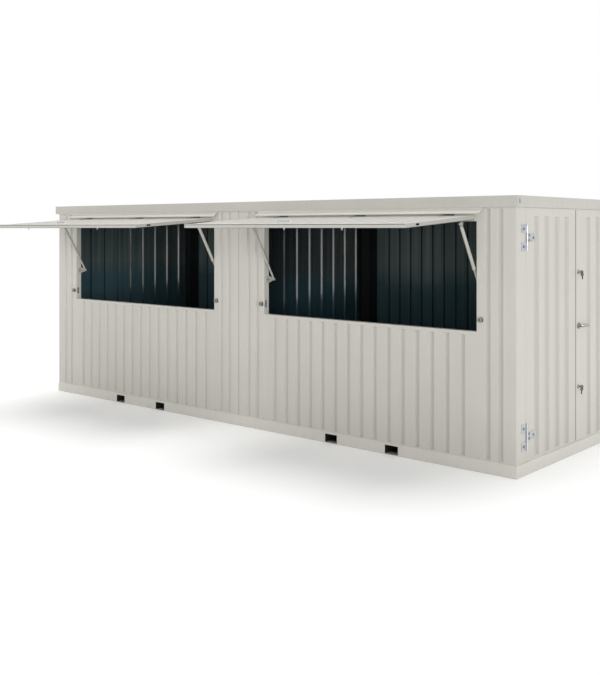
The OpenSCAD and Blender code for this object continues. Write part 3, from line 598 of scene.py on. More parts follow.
class Bench:
    """Hand tools for modelling. Each one acts on the piece it is given, and on nothing else."""

    @staticmethod
    def clear() -> None:
        """Leaves edit mode and deselects everything."""
        if bpy.context.object and bpy.context.object.mode != "OBJECT":
            bpy.ops.object.mode_set(mode="OBJECT")
        bpy.ops.object.select_all(action="DESELECT")

    @staticmethod
    def take(piece: bpy.types.Object) -> None:
        """Selects one piece alone and makes it active.

        Args:
            piece: The piece to work on.
        """
        Bench.clear()
        piece.select_set(True)
        bpy.context.view_layer.objects.active = piece

    @staticmethod
    def settle(piece: bpy.types.Object) -> None:
        """Puts a piece's place, turn and scale into its mesh."""
        Bench.take(piece)
        bpy.ops.object.transform_apply(location=True, rotation=True, scale=True)

    @staticmethod
    def block(low: Point, high: Point) -> bpy.types.Object:
        """A cuboid between two corners, to be shaped further.

        Args:
            low: The corner with the lowest x, y and z.
            high: The corner with the highest ones.

        Returns:
            The cuboid, with its place in its mesh.
        """
        Bench.clear()
        start, end = Vector(low), Vector(high)
        bpy.ops.mesh.primitive_cube_add(size=1.0, location=(start + end) / 2)
        piece = bpy.context.active_object
        piece.scale = end - start
        Bench.settle(piece)
        return piece

    @staticmethod
    def disc(radius: float, depth: float, sides: int) -> bpy.types.Object:
        """A flat cylinder on the ground plane, to be shaped further.

        Args:
            radius: Its radius, in metres.
            depth: Its height.
            sides: How many sides make its round.

        Returns:
            The cylinder, which stands on the origin.
        """
        Bench.clear()
        bpy.ops.mesh.primitive_cylinder_add(vertices=sides, radius=radius, depth=depth,
                                            location=(0.0, 0.0, depth / 2))
        piece = bpy.context.active_object
        Bench.settle(piece)
        return piece

    @staticmethod
    @contextmanager
    def editing(piece: bpy.types.Object) -> Iterator[None]:
        """Edit mode on one piece, in face select, for as long as the block lasts.

        Args:
            piece: The piece to edit.

        Returns:
            A context, after which the piece is in object mode again.
        """
        Bench.take(piece)
        bpy.ops.object.mode_set(mode="EDIT")
        bpy.ops.mesh.select_mode(type="FACE")
        try:
            yield
        finally:
            bpy.ops.object.mode_set(mode="OBJECT")

    @staticmethod
    def pick(piece: bpy.types.Object, wanted: Callable[[bmesh.types.BMFace], bool]) -> None:
        """Selects, in edit mode, the faces that pass a test and no others.

        Args:
            piece: The piece that is in edit mode.
            wanted: The test that a face has to pass.
        """
        bpy.ops.mesh.select_all(action="DESELECT")
        mesh = bmesh.from_edit_mesh(piece.data)
        for face in mesh.faces:
            face.select_set(wanted(face))
        bmesh.update_edit_mesh(piece.data)

    @staticmethod
    def raise_faces(height: float, shrink: float = 1.0) -> None:
        """Extrudes the picked flat cap upwards and narrows it.

        Args:
            height: How far up they go, or down if negative.
            shrink: The width that is left at the top, as a share.
        """
        bpy.ops.mesh.extrude_region_move(TRANSFORM_OT_translate={"value": (0.0, 0.0, height)})
        if shrink != 1.0:
            bpy.ops.transform.resize(value=(shrink, shrink, 1.0))

    @staticmethod
    def apply(piece: bpy.types.Object, kind: str, **settings: object) -> None:
        """Adds one modifier and applies it.

        Args:
            piece: The piece that gets it.
            kind: Blender's name for the modifier's type.
            settings: The modifier's own options.
        """
        Bench.take(piece)
        modifier = piece.modifiers.new(kind.lower(), kind)
        for option, value in settings.items():
            setattr(modifier, option, value)
        bpy.ops.object.modifier_apply(modifier=modifier.name)

    @staticmethod
    def soften(piece: bpy.types.Object, width: float, segments: int = 2) -> None:
        """Rounds the sharp edges of a piece."""
        Bench.apply(piece, "BEVEL", width=width, segments=segments, limit_method="ANGLE", angle_limit=SHARP_EDGE)

    @staticmethod
    def moved(piece: bpy.types.Object, place: Place) -> bpy.types.Object:
        """Puts a piece at a place, and the place into its mesh.

        Args:
            piece: The piece to move.
            place: Where it goes.

        Returns:
            The same piece.
        """
        piece.matrix_world = place @ piece.matrix_world
        Bench.settle(piece)
        return piece

    @staticmethod
    def joined(pieces: list[bpy.types.Object]) -> bpy.types.Object:
        """Makes one object of several.

        Args:
            pieces: The pieces, of which the first one takes in the others.

        Returns:
            The object that holds them all.
        """
        Bench.take(pieces[0])
        for piece in pieces[1:]:
            piece.select_set(True)
        if len(pieces) > 1:
            bpy.ops.object.join()
        return bpy.context.view_layer.objects.active

    @staticmethod
    def repeated(pattern: bpy.types.Object, places: list[Place]) -> bpy.types.Object:
        """Copies a pattern to each place, joins the copies and throws the pattern away.

        Args:
            pattern: The piece to repeat, modelled at the origin and looking up.
            places: Where each copy stands.

        Returns:
            One object that holds every copy.
        """
        copies = []
        for place in places:
            copy = pattern.copy()
            copy.data = pattern.data.copy()
            bpy.context.scene.collection.objects.link(copy)
            copy.matrix_world = place
            copies.append(copy)
        for copy in copies:
            Bench.settle(copy)
        bpy.data.objects.remove(pattern)
        return Bench.joined(copies)

    @staticmethod
    def hand_over(piece: bpy.types.Object, name: str, body: str, slot: str,
                  finish: bpy.types.Material, angle: float = 35.0) -> None:
        """Names, smooths and paints a finished piece, and lets it ride on its body.

        Args:
            piece: The finished object, with its place in its mesh.
            name: What the piece is called.
            body: The CAD body that carries it.
            slot: The record's material slot; not used.
            finish: The material it gets.
            angle: Edges sharper than this stay sharp, in degrees.
        """
        Bench.take(piece)
        bpy.ops.object.shade_smooth_by_angle(angle=math.radians(angle))
        piece.name = name
        piece.data.name = name
        piece.data.materials.clear()
        piece.data.materials.append(finish)
        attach(piece, body)
        log.info("%s: %d faces, rides on %s", name, len(piece.data.polygons), body)


@dataclass(frozen=True)
class Screw:
    """A fixing with a washer or flange and a domed or flat head."""

    washer_r: float
    washer_t: float
    head_r: float
    head_h: float
    sides: int = 12
    crown: float = 0.6
    wall_share: float = 0.7

    def model(self) -> bpy.types.Object:
        """The fixing at the origin, looking up.

        Returns:
            The fixing, to be repeated.
        """
        screw = Bench.disc(self.washer_r, self.washer_t, self.sides)
        with Bench.editing(screw):
            Bench.pick(screw, Facing.UP.sees)
            bpy.ops.mesh.inset(thickness=self.washer_r - self.head_r)
            Bench.raise_faces(self.head_h * self.wall_share)
            Bench.raise_faces(self.head_h * (1.0 - self.wall_share), self.crown)
        return screw


@dataclass
class PaintWork:
    """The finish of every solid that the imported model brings."""

    by_node: dict[str, str] = field(default_factory=lambda: {
        "side_panels": "front", "lintels": "reveal", "hatch_posts": "reveal",
        "left_counter_panel": "front", "right_counter_panel": "front",
        "left_back_wall": "back", "right_back_wall": "back", "left_end_wall": "left_end",
        "front_door_leaf": "doors", "back_door_leaf": "doors",
        "left_roof_sheet": "roof", "right_roof_sheet": "roof",
        "corner_posts": "posts", "hatch_sills": "reveal", "drip_caps": "cap", "seam_wall": "room",
        "left_base_rails": "rail", "right_base_rails": "rail", "left_base_beams": "rail",
        "right_base_beams": "rail", "roof_eaves": "trim", "left_roof_ends": "trim",
        "right_roof_ends": "trim", "left_fork_pockets": "pocket", "right_fork_pockets": "pocket",
        "left_floor": "plywood", "right_floor": "plywood",
        "left_flap_skin": "flap", "right_flap_skin": "flap",
        "left_flap_lining": "flap", "right_flap_lining": "flap",
        "left_strut_tubes": "strut", "right_strut_tubes": "strut",
        "left_strut_rods": "strut", "right_strut_rods": "strut",
        "left_flap_straps": "dull_zinc", "right_flap_straps": "dull_zinc", "left_flap_lugs": "zinc",
        "right_flap_lugs": "zinc", "left_flap_pull": "zinc", "right_flap_pull": "zinc",
        "flap_hinges": "dull_zinc", "strut_brackets": "strut", "hatch_catches": "nickel",
        "door_hinge_plates": "zinc", "front_door_straps": "zinc", "back_door_straps": "zinc",
        "lever_rose": "nickel", "door_lever": "chrome", "door_locks": "chrome",
    })

    def dress(self) -> None:
        """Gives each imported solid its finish, and fails if one has none."""
        for name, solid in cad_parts.items():
            finish = getattr(Finishes, self.by_node[name]).material
            solid.data.materials.clear()
            solid.data.materials.append(finish)
            log.info("%s: %s", name, finish.name)


@dataclass
class DoorHinges:
    """The bolts that hold the hinge plates to the posts and the straps to the leaves."""

    face_x: float = 3.005
    axis_y: float = 0.922
    centres_z: tuple[float, float] = (0.301, 1.87)
    knuckle_rise: float = 0.0703
    plate_bolt_in: float = 0.048
    strap_bolts: tuple[tuple[float, float], ...] = ((0.042, 0.019), (0.042, -0.019), (0.117, 0.0))
    bolt: Screw = Screw(washer_r=0.0125, washer_t=0.0016, head_r=0.0085, head_h=0.0045, sides=16, crown=0.55)

    def build(self) -> None:
        """Models the bolts and hands them to the posts and the two leaves."""
        plates = [Facing.RIGHT.at(self.face_x, flip * (self.axis_y + self.plate_bolt_in), z + rise)
                  for flip in (-1, 1) for z in self.centres_z
                  for rise in (-self.knuckle_rise, self.knuckle_rise)]
        self._hand(plates, "hinge_plate_bolts", "structure")
        for flip, leaf in ((-1, "front_door"), (1, "back_door")):
            straps = [Facing.RIGHT.at(self.face_x, flip * (self.axis_y - along), z + rise)
                      for z in self.centres_z for along, rise in self.strap_bolts]
            self._hand(straps, f"{leaf}_strap_bolts", leaf)

    def _hand(self, places: list[Place], name: str, body: str) -> None:
        """Repeats the bolt at its places and hands the group over."""
        group = Bench.repeated(self.bolt.model(), places)
        Bench.hand_over(group, name, body, "zinc", Finishes.nickel.material)


@dataclass
class LockKeys:
    """A key in each lock of the back leaf, with its spare on a ring."""

    lock_x: float = 3.012
    lock_y: float = 0.051
    locks_z: tuple[float, float] = (0.573, 1.566)
    bow_r: float = 0.0138
    key_t: float = 0.0034
    blade_l: float = 0.03
    blade_h: float = 0.0095
    bow_off: float = 0.006
    bow_sides: int = 20
    bow_rim: float = 0.62
    bow_lap: float = 0.93
    stub_l: float = 0.009
    blade_cuts: int = 5
    notches: tuple[int, ...] = (1, 4)
    notch_share: float = 0.55
    ring_r: float = 0.011
    wire_r: float = 0.0009
    ring_sides: int = 28
    wire_sides: int = 8
    ring_lap: float = 0.75
    lap_width: float = 1.5
    swings: tuple[float, float] = (math.radians(-8.4), math.radians(14.0))

    def build(self) -> None:
        """Models a key, a ring and a spare for each lock, and hangs them in it."""
        keys = []
        for z, lean in zip(self.locks_z, self.swings):
            bow = Vector((self.lock_x + self.bow_r + self.bow_off, self.lock_y, z))
            keys.append(Bench.moved(self._key(self.stub_l), Matrix.Translation(bow)))
            ring_mid = bow + Vector((0.0, self.ring_r * math.sin(lean), -self.ring_r * math.cos(lean)))
            keys.append(Bench.moved(self._ring(), Matrix.Translation(ring_mid)))
            foot = bow + 2.0 * (ring_mid - bow)
            hang = Matrix.Rotation(lean, 4, "X") @ Matrix.Rotation(math.radians(-90.0), 4, "Y")
            keys.append(Bench.moved(self._key(self.blade_l), Matrix.Translation(foot) @ hang))
        group = Bench.joined(keys)
        Bench.hand_over(group, "lock_keys", "back_door", "zinc", Finishes.key_metal.material)

    def _key(self, blade_l: float) -> bpy.types.Object:
        """A key whose bow stands round the origin and whose blade points along -X.

        Args:
            blade_l: How much of the blade shows.

        Returns:
            The key.
        """
        bow = Bench.disc(self.bow_r, self.key_t, self.bow_sides)
        with Bench.editing(bow):
            Bench.pick(bow, lambda face: Facing.UP.sees(face) or Facing.DOWN.sees(face))
            bpy.ops.mesh.inset(thickness=self.bow_r * self.bow_rim)
            bpy.ops.mesh.bridge_edge_loops()
        Bench.moved(bow, Matrix.Rotation(math.pi / 2, 4, "X") @ Matrix.Translation((0.0, 0.0, -self.key_t / 2)))
        half_t, half_h = self.key_t / 2, self.blade_h / 2
        start = -self.bow_r * self.bow_lap
        blade = Bench.block((start - blade_l, -half_t, -half_h), (start, half_t, half_h))
        with Bench.editing(blade):
            bpy.ops.mesh.select_all(action="SELECT")
            bpy.ops.mesh.subdivide(number_cuts=self.blade_cuts)
            tooth = blade_l / (self.blade_cuts + 1)
            Bench.pick(blade, lambda face: Facing.DOWN.sees(face)
                       and int((start - face.calc_center_median().x) / tooth) in self.notches)
            bpy.ops.mesh.extrude_region_move(TRANSFORM_OT_translate={"value": (0.0, 0.0, half_h * self.notch_share)})
        return Bench.joined([bow, blade])

    def _ring(self) -> bpy.types.Object:
        """A split ring of wire that stands in the plane of the door.

        Returns:
            The ring, round the origin.
        """
        Bench.clear()
        bpy.ops.mesh.primitive_torus_add(major_segments=self.ring_sides, minor_segments=self.wire_sides,
                                         major_radius=self.ring_r, minor_radius=self.wire_r,
                                         rotation=(0.0, math.pi / 2, 0.0))
        ring = bpy.context.active_object
        Bench.settle(ring)
        with Bench.editing(ring):
            Bench.pick(ring, lambda face: face.calc_center_median().z > self.ring_r * self.ring_lap)
            bpy.ops.transform.resize(value=(self.lap_width, 1.0, 1.0))
        return ring


@dataclass
class HatchFittings:
    """Key cores in the turn catches, and keeper plates on the hatch jambs."""

    catch_off: float = 1.192
    catch_z: float = 1.215
    core_y: float = -1.107
    core_r: float = 0.0086
    core_t: float = 0.003
    core_sides: int = 20
    core_rim: float = 0.16
    core_sink: float = 0.2
    slit_inset: float = 0.2
    slit_width: float = 0.3
    slit_depth: float = 0.6
    keeper_half_h: float = 0.034
    keeper_y: tuple[float, float] = (-1.084, -1.06)
    keeper_t: float = 0.0022
    keeper_screw_rise: float = 0.024
    window_inset: float = 0.008
    window_height: float = 0.5
    window_depth: float = 0.0015
    keeper_round: float = 0.0006
    keeper_screw: Screw = Screw(washer_r=0.0048, washer_t=0.0006, head_r=0.0042, head_h=0.0016)

    def build(self) -> None:
        """Models the cores and the keepers of both hatches."""
        places = [Facing.FRONT.at(side.value * MODULE.half_length + end * self.catch_off, self.core_y, self.catch_z)
                  for side in Side for end in (-1, 1)]
        cores = Bench.repeated(self._core(), places)
        Bench.hand_over(cores, "catch_cores", "structure", "zinc", Finishes.key_metal.material)
        keepers, screws = [], []
        for side in Side:
            for end in (-1, 1):
                jamb = side.value * MODULE.half_length + end * MODULE.hatch_half
                keepers.append(self._keeper(jamb, end))
                look = Facing.sideways(-end)
                mid_y = sum(self.keeper_y) / 2
                screws += [look.at(jamb - end * self.keeper_t, mid_y, self.catch_z + rise)
                           for rise in (-self.keeper_screw_rise, self.keeper_screw_rise)]
        group = Bench.joined([*keepers, Bench.repeated(self.keeper_screw.model(), screws)])
        Bench.hand_over(group, "jamb_keepers", "structure", "zinc", Finishes.zinc.material)

    def _core(self) -> bpy.types.Object:
        """A key core with a sunk rim and a slit for the key.

        Returns:
            The core at the origin, looking up.
        """
        core = Bench.disc(self.core_r, self.core_t, self.core_sides)
        with Bench.editing(core):
            Bench.pick(core, Facing.UP.sees)
            bpy.ops.mesh.inset(thickness=self.core_r * self.core_rim)
            bpy.ops.transform.translate(value=(0.0, 0.0, -self.core_t * self.core_sink))
            bpy.ops.mesh.inset(thickness=self.core_r * self.slit_inset)
            bpy.ops.transform.resize(value=(self.slit_width, 1.0, 1.0))
            Bench.raise_faces(-self.core_t * self.slit_depth)
        return core

    def _keeper(self, jamb: float, end: int) -> bpy.types.Object:
        """One keeper plate with a pressed window for the catch's tongue.

        Args:
            jamb: The x of the jamb's face.
            end: The hatch's end, -1 or 1.

        Returns:
            The plate, in place.
        """
        inner = jamb - end * self.keeper_t
        plate = Bench.block((min(jamb, inner), self.keeper_y[0], self.catch_z - self.keeper_half_h),
                            (max(jamb, inner), self.keeper_y[1], self.catch_z + self.keeper_half_h))
        with Bench.editing(plate):
            Bench.pick(plate, Facing.sideways(-end).sees)
            bpy.ops.mesh.inset(thickness=self.window_inset)
            bpy.ops.transform.resize(value=(1.0, 1.0, self.window_height))
            bpy.ops.mesh.extrude_region_move(TRANSFORM_OT_translate={"value": (end * self.window_depth, 0.0, 0.0)})
        Bench.soften(plate, self.keeper_round)
        return plate


@dataclass
class FlapFittings:
    """The hem, the seals, a dark strip under the hem that is a painted shadow line, the edge hooks and the lining's
    screws of one flap, placed as it hangs open.
    """

    side: Side
    axis_y: float = -1.126
    axis_z: float = 2.046
    opened: float = math.radians(-86.0)
    inner_y: float = 0.03
    half_width: float = 1.165
    length: float = 0.99
    seal_in: float = 0.002
    seal_w: float = 0.007
    seal_t: float = 0.0045
    seal_round: float = 0.0014
    seal_top: float = -0.026
    seal_low: float = -0.962
    screw_pitch: float = 0.285
    screw_inset: float = 0.032
    side_screws: tuple[float, ...] = (0.25, 0.5)
    bead_short: float = 0.001
    bead_out: float = 0.004
    bead_rise: float = 0.004
    bead_in: float = 0.03
    bead_drop: float = 0.001
    bead_round: float = 0.0012
    bead_segments: int = 3
    # the dark strip under the hem, a painted shadow line
    drip_short: float = 0.003
    drip_out: float = 0.002
    drip_t: float = 0.0045
    drip_taper: float = 0.8
    drip_round: float = 0.0003
    hooks_x: tuple[float, ...] = (-0.584, 0.0, 0.584)
    hook_size: tuple[float, float, float] = (0.016, 0.018, 0.004)
    hook_up: float = 0.004
    hook_tip: float = 0.55
    hook_cuts: int = 2
    hook_neck: float = 0.4
    hook_lug: float = 2.0
    hook_round: float = 0.0007
    lining_screw: Screw = Screw(washer_r=0.006, washer_t=0.0007, head_r=0.0048, head_h=0.0018)

    @property
    def hung(self) -> Place:
        """The place of the flap's own frame, as it hangs open."""
        return (Matrix.Translation((self.side.value * MODULE.half_length, self.axis_y, self.axis_z))
                @ Matrix.Rotation(self.opened, 4, "X"))

    def build(self) -> None:
        """Models the four groups and hands them to the flap."""
        body = f"{self.side.word}_flap"
        # the hem gets the lighter cap paint, a painted highlight along the flap's front edge
        Bench.hand_over(self._bead(), f"{body}_front_bead", body, "wall_paint", Finishes.cap.material)
        # the seal object also holds the dark strip under the hem, a painted shadow line
        Bench.hand_over(Bench.joined([self._seal(), self._shadow_line_strip()]), f"{body}_seal", body, "inside_paint",
                        Finishes.rubber.material)
        Bench.hand_over(self._hooks(), f"{body}_hooks", body, "zinc", Finishes.zinc.material)
        Bench.hand_over(self._screws(), f"{body}_lining_screws", body, "zinc", Finishes.zinc.material)

    def _seal(self) -> bpy.types.Object:
        """A rubber frame round the lining that meets the wall when the flap is shut.

        Returns:
            The seal, in place.
        """
        Bench.clear()
        bpy.ops.mesh.primitive_plane_add(size=1.0)
        seal = bpy.context.active_object
        wide = 2.0 * (self.half_width - self.seal_in)
        tall = self.seal_top - self.seal_low
        seal.scale = (wide, tall, 1.0)
        Bench.settle(seal)
        with Bench.editing(seal):
            bpy.ops.mesh.select_all(action="SELECT")
            bpy.ops.mesh.inset(thickness=self.seal_w)
            bpy.ops.mesh.delete(type="FACE")
        Bench.apply(seal, "SOLIDIFY", thickness=self.seal_t, offset=1.0)
        Bench.soften(seal, self.seal_round)
        middle = (self.seal_top + self.seal_low) / 2
        upright = Matrix.Translation((0.0, self.inner_y, middle)) @ Matrix.Rotation(-math.pi / 2, 4, "X")
        return Bench.moved(seal, self.hung @ upright)

    def _bead(self) -> bpy.types.Object:
        """A rounded hem over the front edge of the skin, which sheds rain.

        Returns:
            The hem, in place.
        """
        half = self.half_width - self.bead_short
        bead = Bench.block((-half, -self.bead_rise, -self.length - self.bead_out),
                           (half, 0.0, -self.length + self.bead_in))
        with Bench.editing(bead):
            bpy.ops.mesh.select_all(action="SELECT")
            bpy.ops.mesh.bisect(plane_co=(0.0, 0.0, -self.length), plane_no=(0.0, 0.0, 1.0))
            Bench.pick(bead, lambda face: Facing.BACK.sees(face) and face.calc_center_median().z < -self.length)
            bpy.ops.mesh.extrude_region_move(TRANSFORM_OT_translate={"value": (0.0, self.bead_drop, 0.0)})
        Bench.soften(bead, self.bead_round, self.bead_segments)
        return Bench.moved(bead, self.hung)

    def _shadow_line_strip(self) -> bpy.types.Object:
        """A thin dark rubber strip under the hem, a painted shadow line.

        Returns:
            The strip, in place.
        """
        half = self.half_width - self.drip_short
        strip = Bench.block((-half, self.bead_drop, -self.length - self.drip_out),
                            (half, self.bead_drop + self.drip_t, -self.length))
        with Bench.editing(strip):
            Bench.pick(strip, Facing.DOWN.sees)
            bpy.ops.transform.resize(value=(1.0, self.drip_taper, 1.0))
        Bench.soften(strip, self.drip_round)
        return Bench.moved(strip, self.hung)

    def _hooks(self) -> bpy.types.Object:
        """Small bent hooks under the front edge, which reach into the wall's grooves.

        Returns:
            All the hooks as one object, in place.
        """
        wide, deep, thick = self.hook_size
        foot = -self.length + self.hook_up
        hook = Bench.block((-wide / 2, self.inner_y, foot), (wide / 2, self.inner_y + deep, foot + thick))
        with Bench.editing(hook):
            Bench.pick(hook, Facing.BACK.sees)
            bpy.ops.transform.resize(value=(self.hook_tip, 1.0, 1.0))
            Bench.pick(hook, Facing.UP.sees)
            bpy.ops.mesh.subdivide(number_cuts=self.hook_cuts)
            Bench.pick(hook, lambda face: Facing.UP.sees(face)
                       and face.calc_center_median().y < self.inner_y + deep * self.hook_neck)
            Bench.raise_faces(thick * self.hook_lug)
        Bench.soften(hook, self.hook_round)
        return Bench.repeated(hook, [self.hung @ Matrix.Translation((x, 0.0, 0.0)) for x in self.hooks_x])

    def _screws(self) -> bpy.types.Object:
        """Pan-head screws round the edge of the lining.

        Returns:
            All the screws as one object, in place.
        """
        across = self.half_width - self.screw_inset
        rows = (self.seal_top - self.screw_inset, self.seal_low + self.screw_inset)
        count = int(2.0 * across / self.screw_pitch)
        step = 2.0 * across / count
        points = [(-across + step * number, z) for number in range(count + 1) for z in rows]
        points += [(end * across, rows[1] + (rows[0] - rows[1]) * share)
                   for end in (-1, 1) for share in self.side_screws]
        places = [self.hung @ Facing.BACK.at(x, self.inner_y, z) for x, z in points]
        return Bench.repeated(self.lining_screw.model(), places)


@dataclass
class StrutFittings:
    """Collars at the mouths of one flap's strut tubes, and the screws of their brackets."""

    side: Side
    strut_off: float = 1.127
    head: tuple[float, float] = (-1.29061, 1.97735)
    foot: tuple[float, float] = (-0.985, 1.45)
    mouth: float = 0.4
    collar_l: float = 0.018
    collar_r: float = 0.0165
    bore_r: float = 0.0139
    collar_sides: int = 28
    collar_round: float = 0.0008
    bracket_face: float = 1.149
    bracket_screws_y: tuple[float, float] = (-1.058, -1.038)
    bracket_screw: Screw = Screw(washer_r=0.0062, washer_t=0.0006, head_r=0.0052, head_h=0.002)

    def build(self) -> None:
        """Models the collars and the bracket screws."""
        run = Vector((0.0, self.foot[0] - self.head[0], self.foot[1] - self.head[1])).normalized()
        start = Vector((0.0, self.head[0], self.head[1])) + run * self.mouth
        turn = run.to_track_quat("Z", "X").to_matrix().to_4x4()
        middle = self.side.value * MODULE.half_length
        places = [Matrix.Translation(start + Vector((middle + end * self.strut_off, 0.0, 0.0))) @ turn
                  for end in (-1, 1)]
        collars = Bench.repeated(self._collar(), places)
        Bench.hand_over(collars, f"{self.side.word}_strut_collars", f"{self.side.word}_tubes", "strut_paint",
                        Finishes.strut.material)
        screws = [Facing.sideways(-end).at(middle + end * self.bracket_face, y, self.foot[1])
                  for end in (-1, 1) for y in self.bracket_screws_y]
        group = Bench.repeated(self.bracket_screw.model(), screws)
        Bench.hand_over(group, f"{self.side.word}_bracket_screws", "structure", "zinc", Finishes.nickel.material)

    def _collar(self) -> bpy.types.Object:
        """A turned ring with a bore, looking up.

        Returns:
            The collar at the origin.
        """
        collar = Bench.disc(self.collar_r, self.collar_l, self.collar_sides)
        with Bench.editing(collar):
            Bench.pick(collar, lambda face: Facing.UP.sees(face) or Facing.DOWN.sees(face))
            bpy.ops.mesh.inset(thickness=self.collar_r - self.bore_r)
            bpy.ops.mesh.bridge_edge_loops()
        Bench.soften(collar, self.collar_round)
        return collar


@dataclass
class WallFixings:
    """Rivets on the drip caps, screws at the panel joints and covers at the eave joints."""

    cap_slope: tuple[float, float, float] = (-1.1145, 2.0933, math.atan2(0.042, 0.07))
    cap_half: float = 1.195
    cap_rivets: int = 7
    joint_off: float = 1.172
    joint_z: float = 0.112
    post_rows_z: tuple[float, ...] = (0.16, 0.62, 1.1, 1.58, 2.05)
    back_edge: float = 0.02
    cover_half: float = 0.032
    cover_t: float = 0.0012
    cover_rim: float = 0.006
    cover_swell: float = 0.0008
    eave_out: float = 1.12
    rivet: Screw = Screw(washer_r=0.0055, washer_t=0.0006, head_r=0.0044, head_h=0.0016, crown=0.5)
    joint_screw: Screw = Screw(washer_r=0.0085, washer_t=0.0012, head_r=0.0058, head_h=0.0042, sides=12, crown=0.75)

    def build(self) -> None:
        """Models the rivets, screws and covers."""
        step = 2.0 * self.cap_half / (self.cap_rivets - 1)
        y, z, lean = self.cap_slope
        rivets = [Matrix.Translation((side.value * MODULE.half_length - self.cap_half + step * number, y, z))
                  @ Matrix.Rotation(lean, 4, "X") for side in Side for number in range(self.cap_rivets)]
        Bench.hand_over(Bench.repeated(self.rivet.model(), rivets), "drip_cap_rivets", "structure",
                        "wall_paint", Finishes.cap.material)
        joints = [Facing.FRONT.at(side.value * MODULE.half_length + end * self.joint_off, MODULE.front_y, self.joint_z)
                  for side in Side for end in (-1, 1)]
        Bench.hand_over(Bench.repeated(self.joint_screw.model(), joints), "panel_joint_screws", "structure",
                        "zinc", Finishes.zinc.material)
        back = [Facing.BACK.at(side.value * x, -MODULE.front_y, z) for side in Side
                for x in (MODULE.end_x - self.back_edge, self.back_edge) for z in self.post_rows_z]
        back += [Facing.LEFT.at(-MODULE.end_x, end * (-MODULE.front_y - self.back_edge), z)
                 for end in (-1, 1) for z in self.post_rows_z]
        Bench.hand_over(Bench.repeated(self.joint_screw.model(), back), "post_screws", "structure",
                        "wall_paint", Finishes.trim.material)
        Bench.hand_over(self._covers(), "eave_joint_covers", "structure", "trim_paint", Finishes.trim.material)

    def _covers(self) -> bpy.types.Object:
        """A folded cover over the eave joint of the two modules, front and back.

        Returns:
            Both covers as one object, in place.
        """
        covers = []
        for end in (-1, 1):
            inner, outer = sorted((end * self.eave_out, end * (self.eave_out + self.cover_t)))
            cover = Bench.block((-self.cover_half, inner, MODULE.eave_z), (self.cover_half, outer, MODULE.roof_z))
            with Bench.editing(cover):
                Bench.pick(cover, (Facing.BACK if end > 0 else Facing.FRONT).sees)
                bpy.ops.mesh.inset(thickness=self.cover_rim)
                bpy.ops.transform.translate(value=(0.0, end * self.cover_swell, 0.0))
            covers.append(cover)
        return Bench.joined(covers)


@dataclass
class RoofFixings:
    """Sealing screws along the roof ribs."""

    rib_z: float = 2.188
    pitch: float = 0.24
    ribs: int = 12
    rows_y: tuple[float, ...] = (-1.0, -0.5, 0.0, 0.5, 1.0)
    screw: Screw = Screw(washer_r=0.0095, washer_t=0.0025, head_r=0.006, head_h=0.005, sides=12, crown=0.8)

    def build(self, side: Side) -> None:
        """Models the screws of one roof sheet.

        Args:
            side: The module whose roof gets them.
        """
        low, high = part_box(f"{side.word}_roof_sheet")
        middle = (low.x + high.x) / 2
        places = [Facing.UP.at(middle + (number - (self.ribs - 1) / 2) * self.pitch, y, self.rib_z)
                  for number in range(self.ribs) for y in self.rows_y]
        Bench.hand_over(Bench.repeated(self.screw.model(), places), f"{side.word}_roof_screws", "structure",
                        "zinc", Finishes.zinc.material)


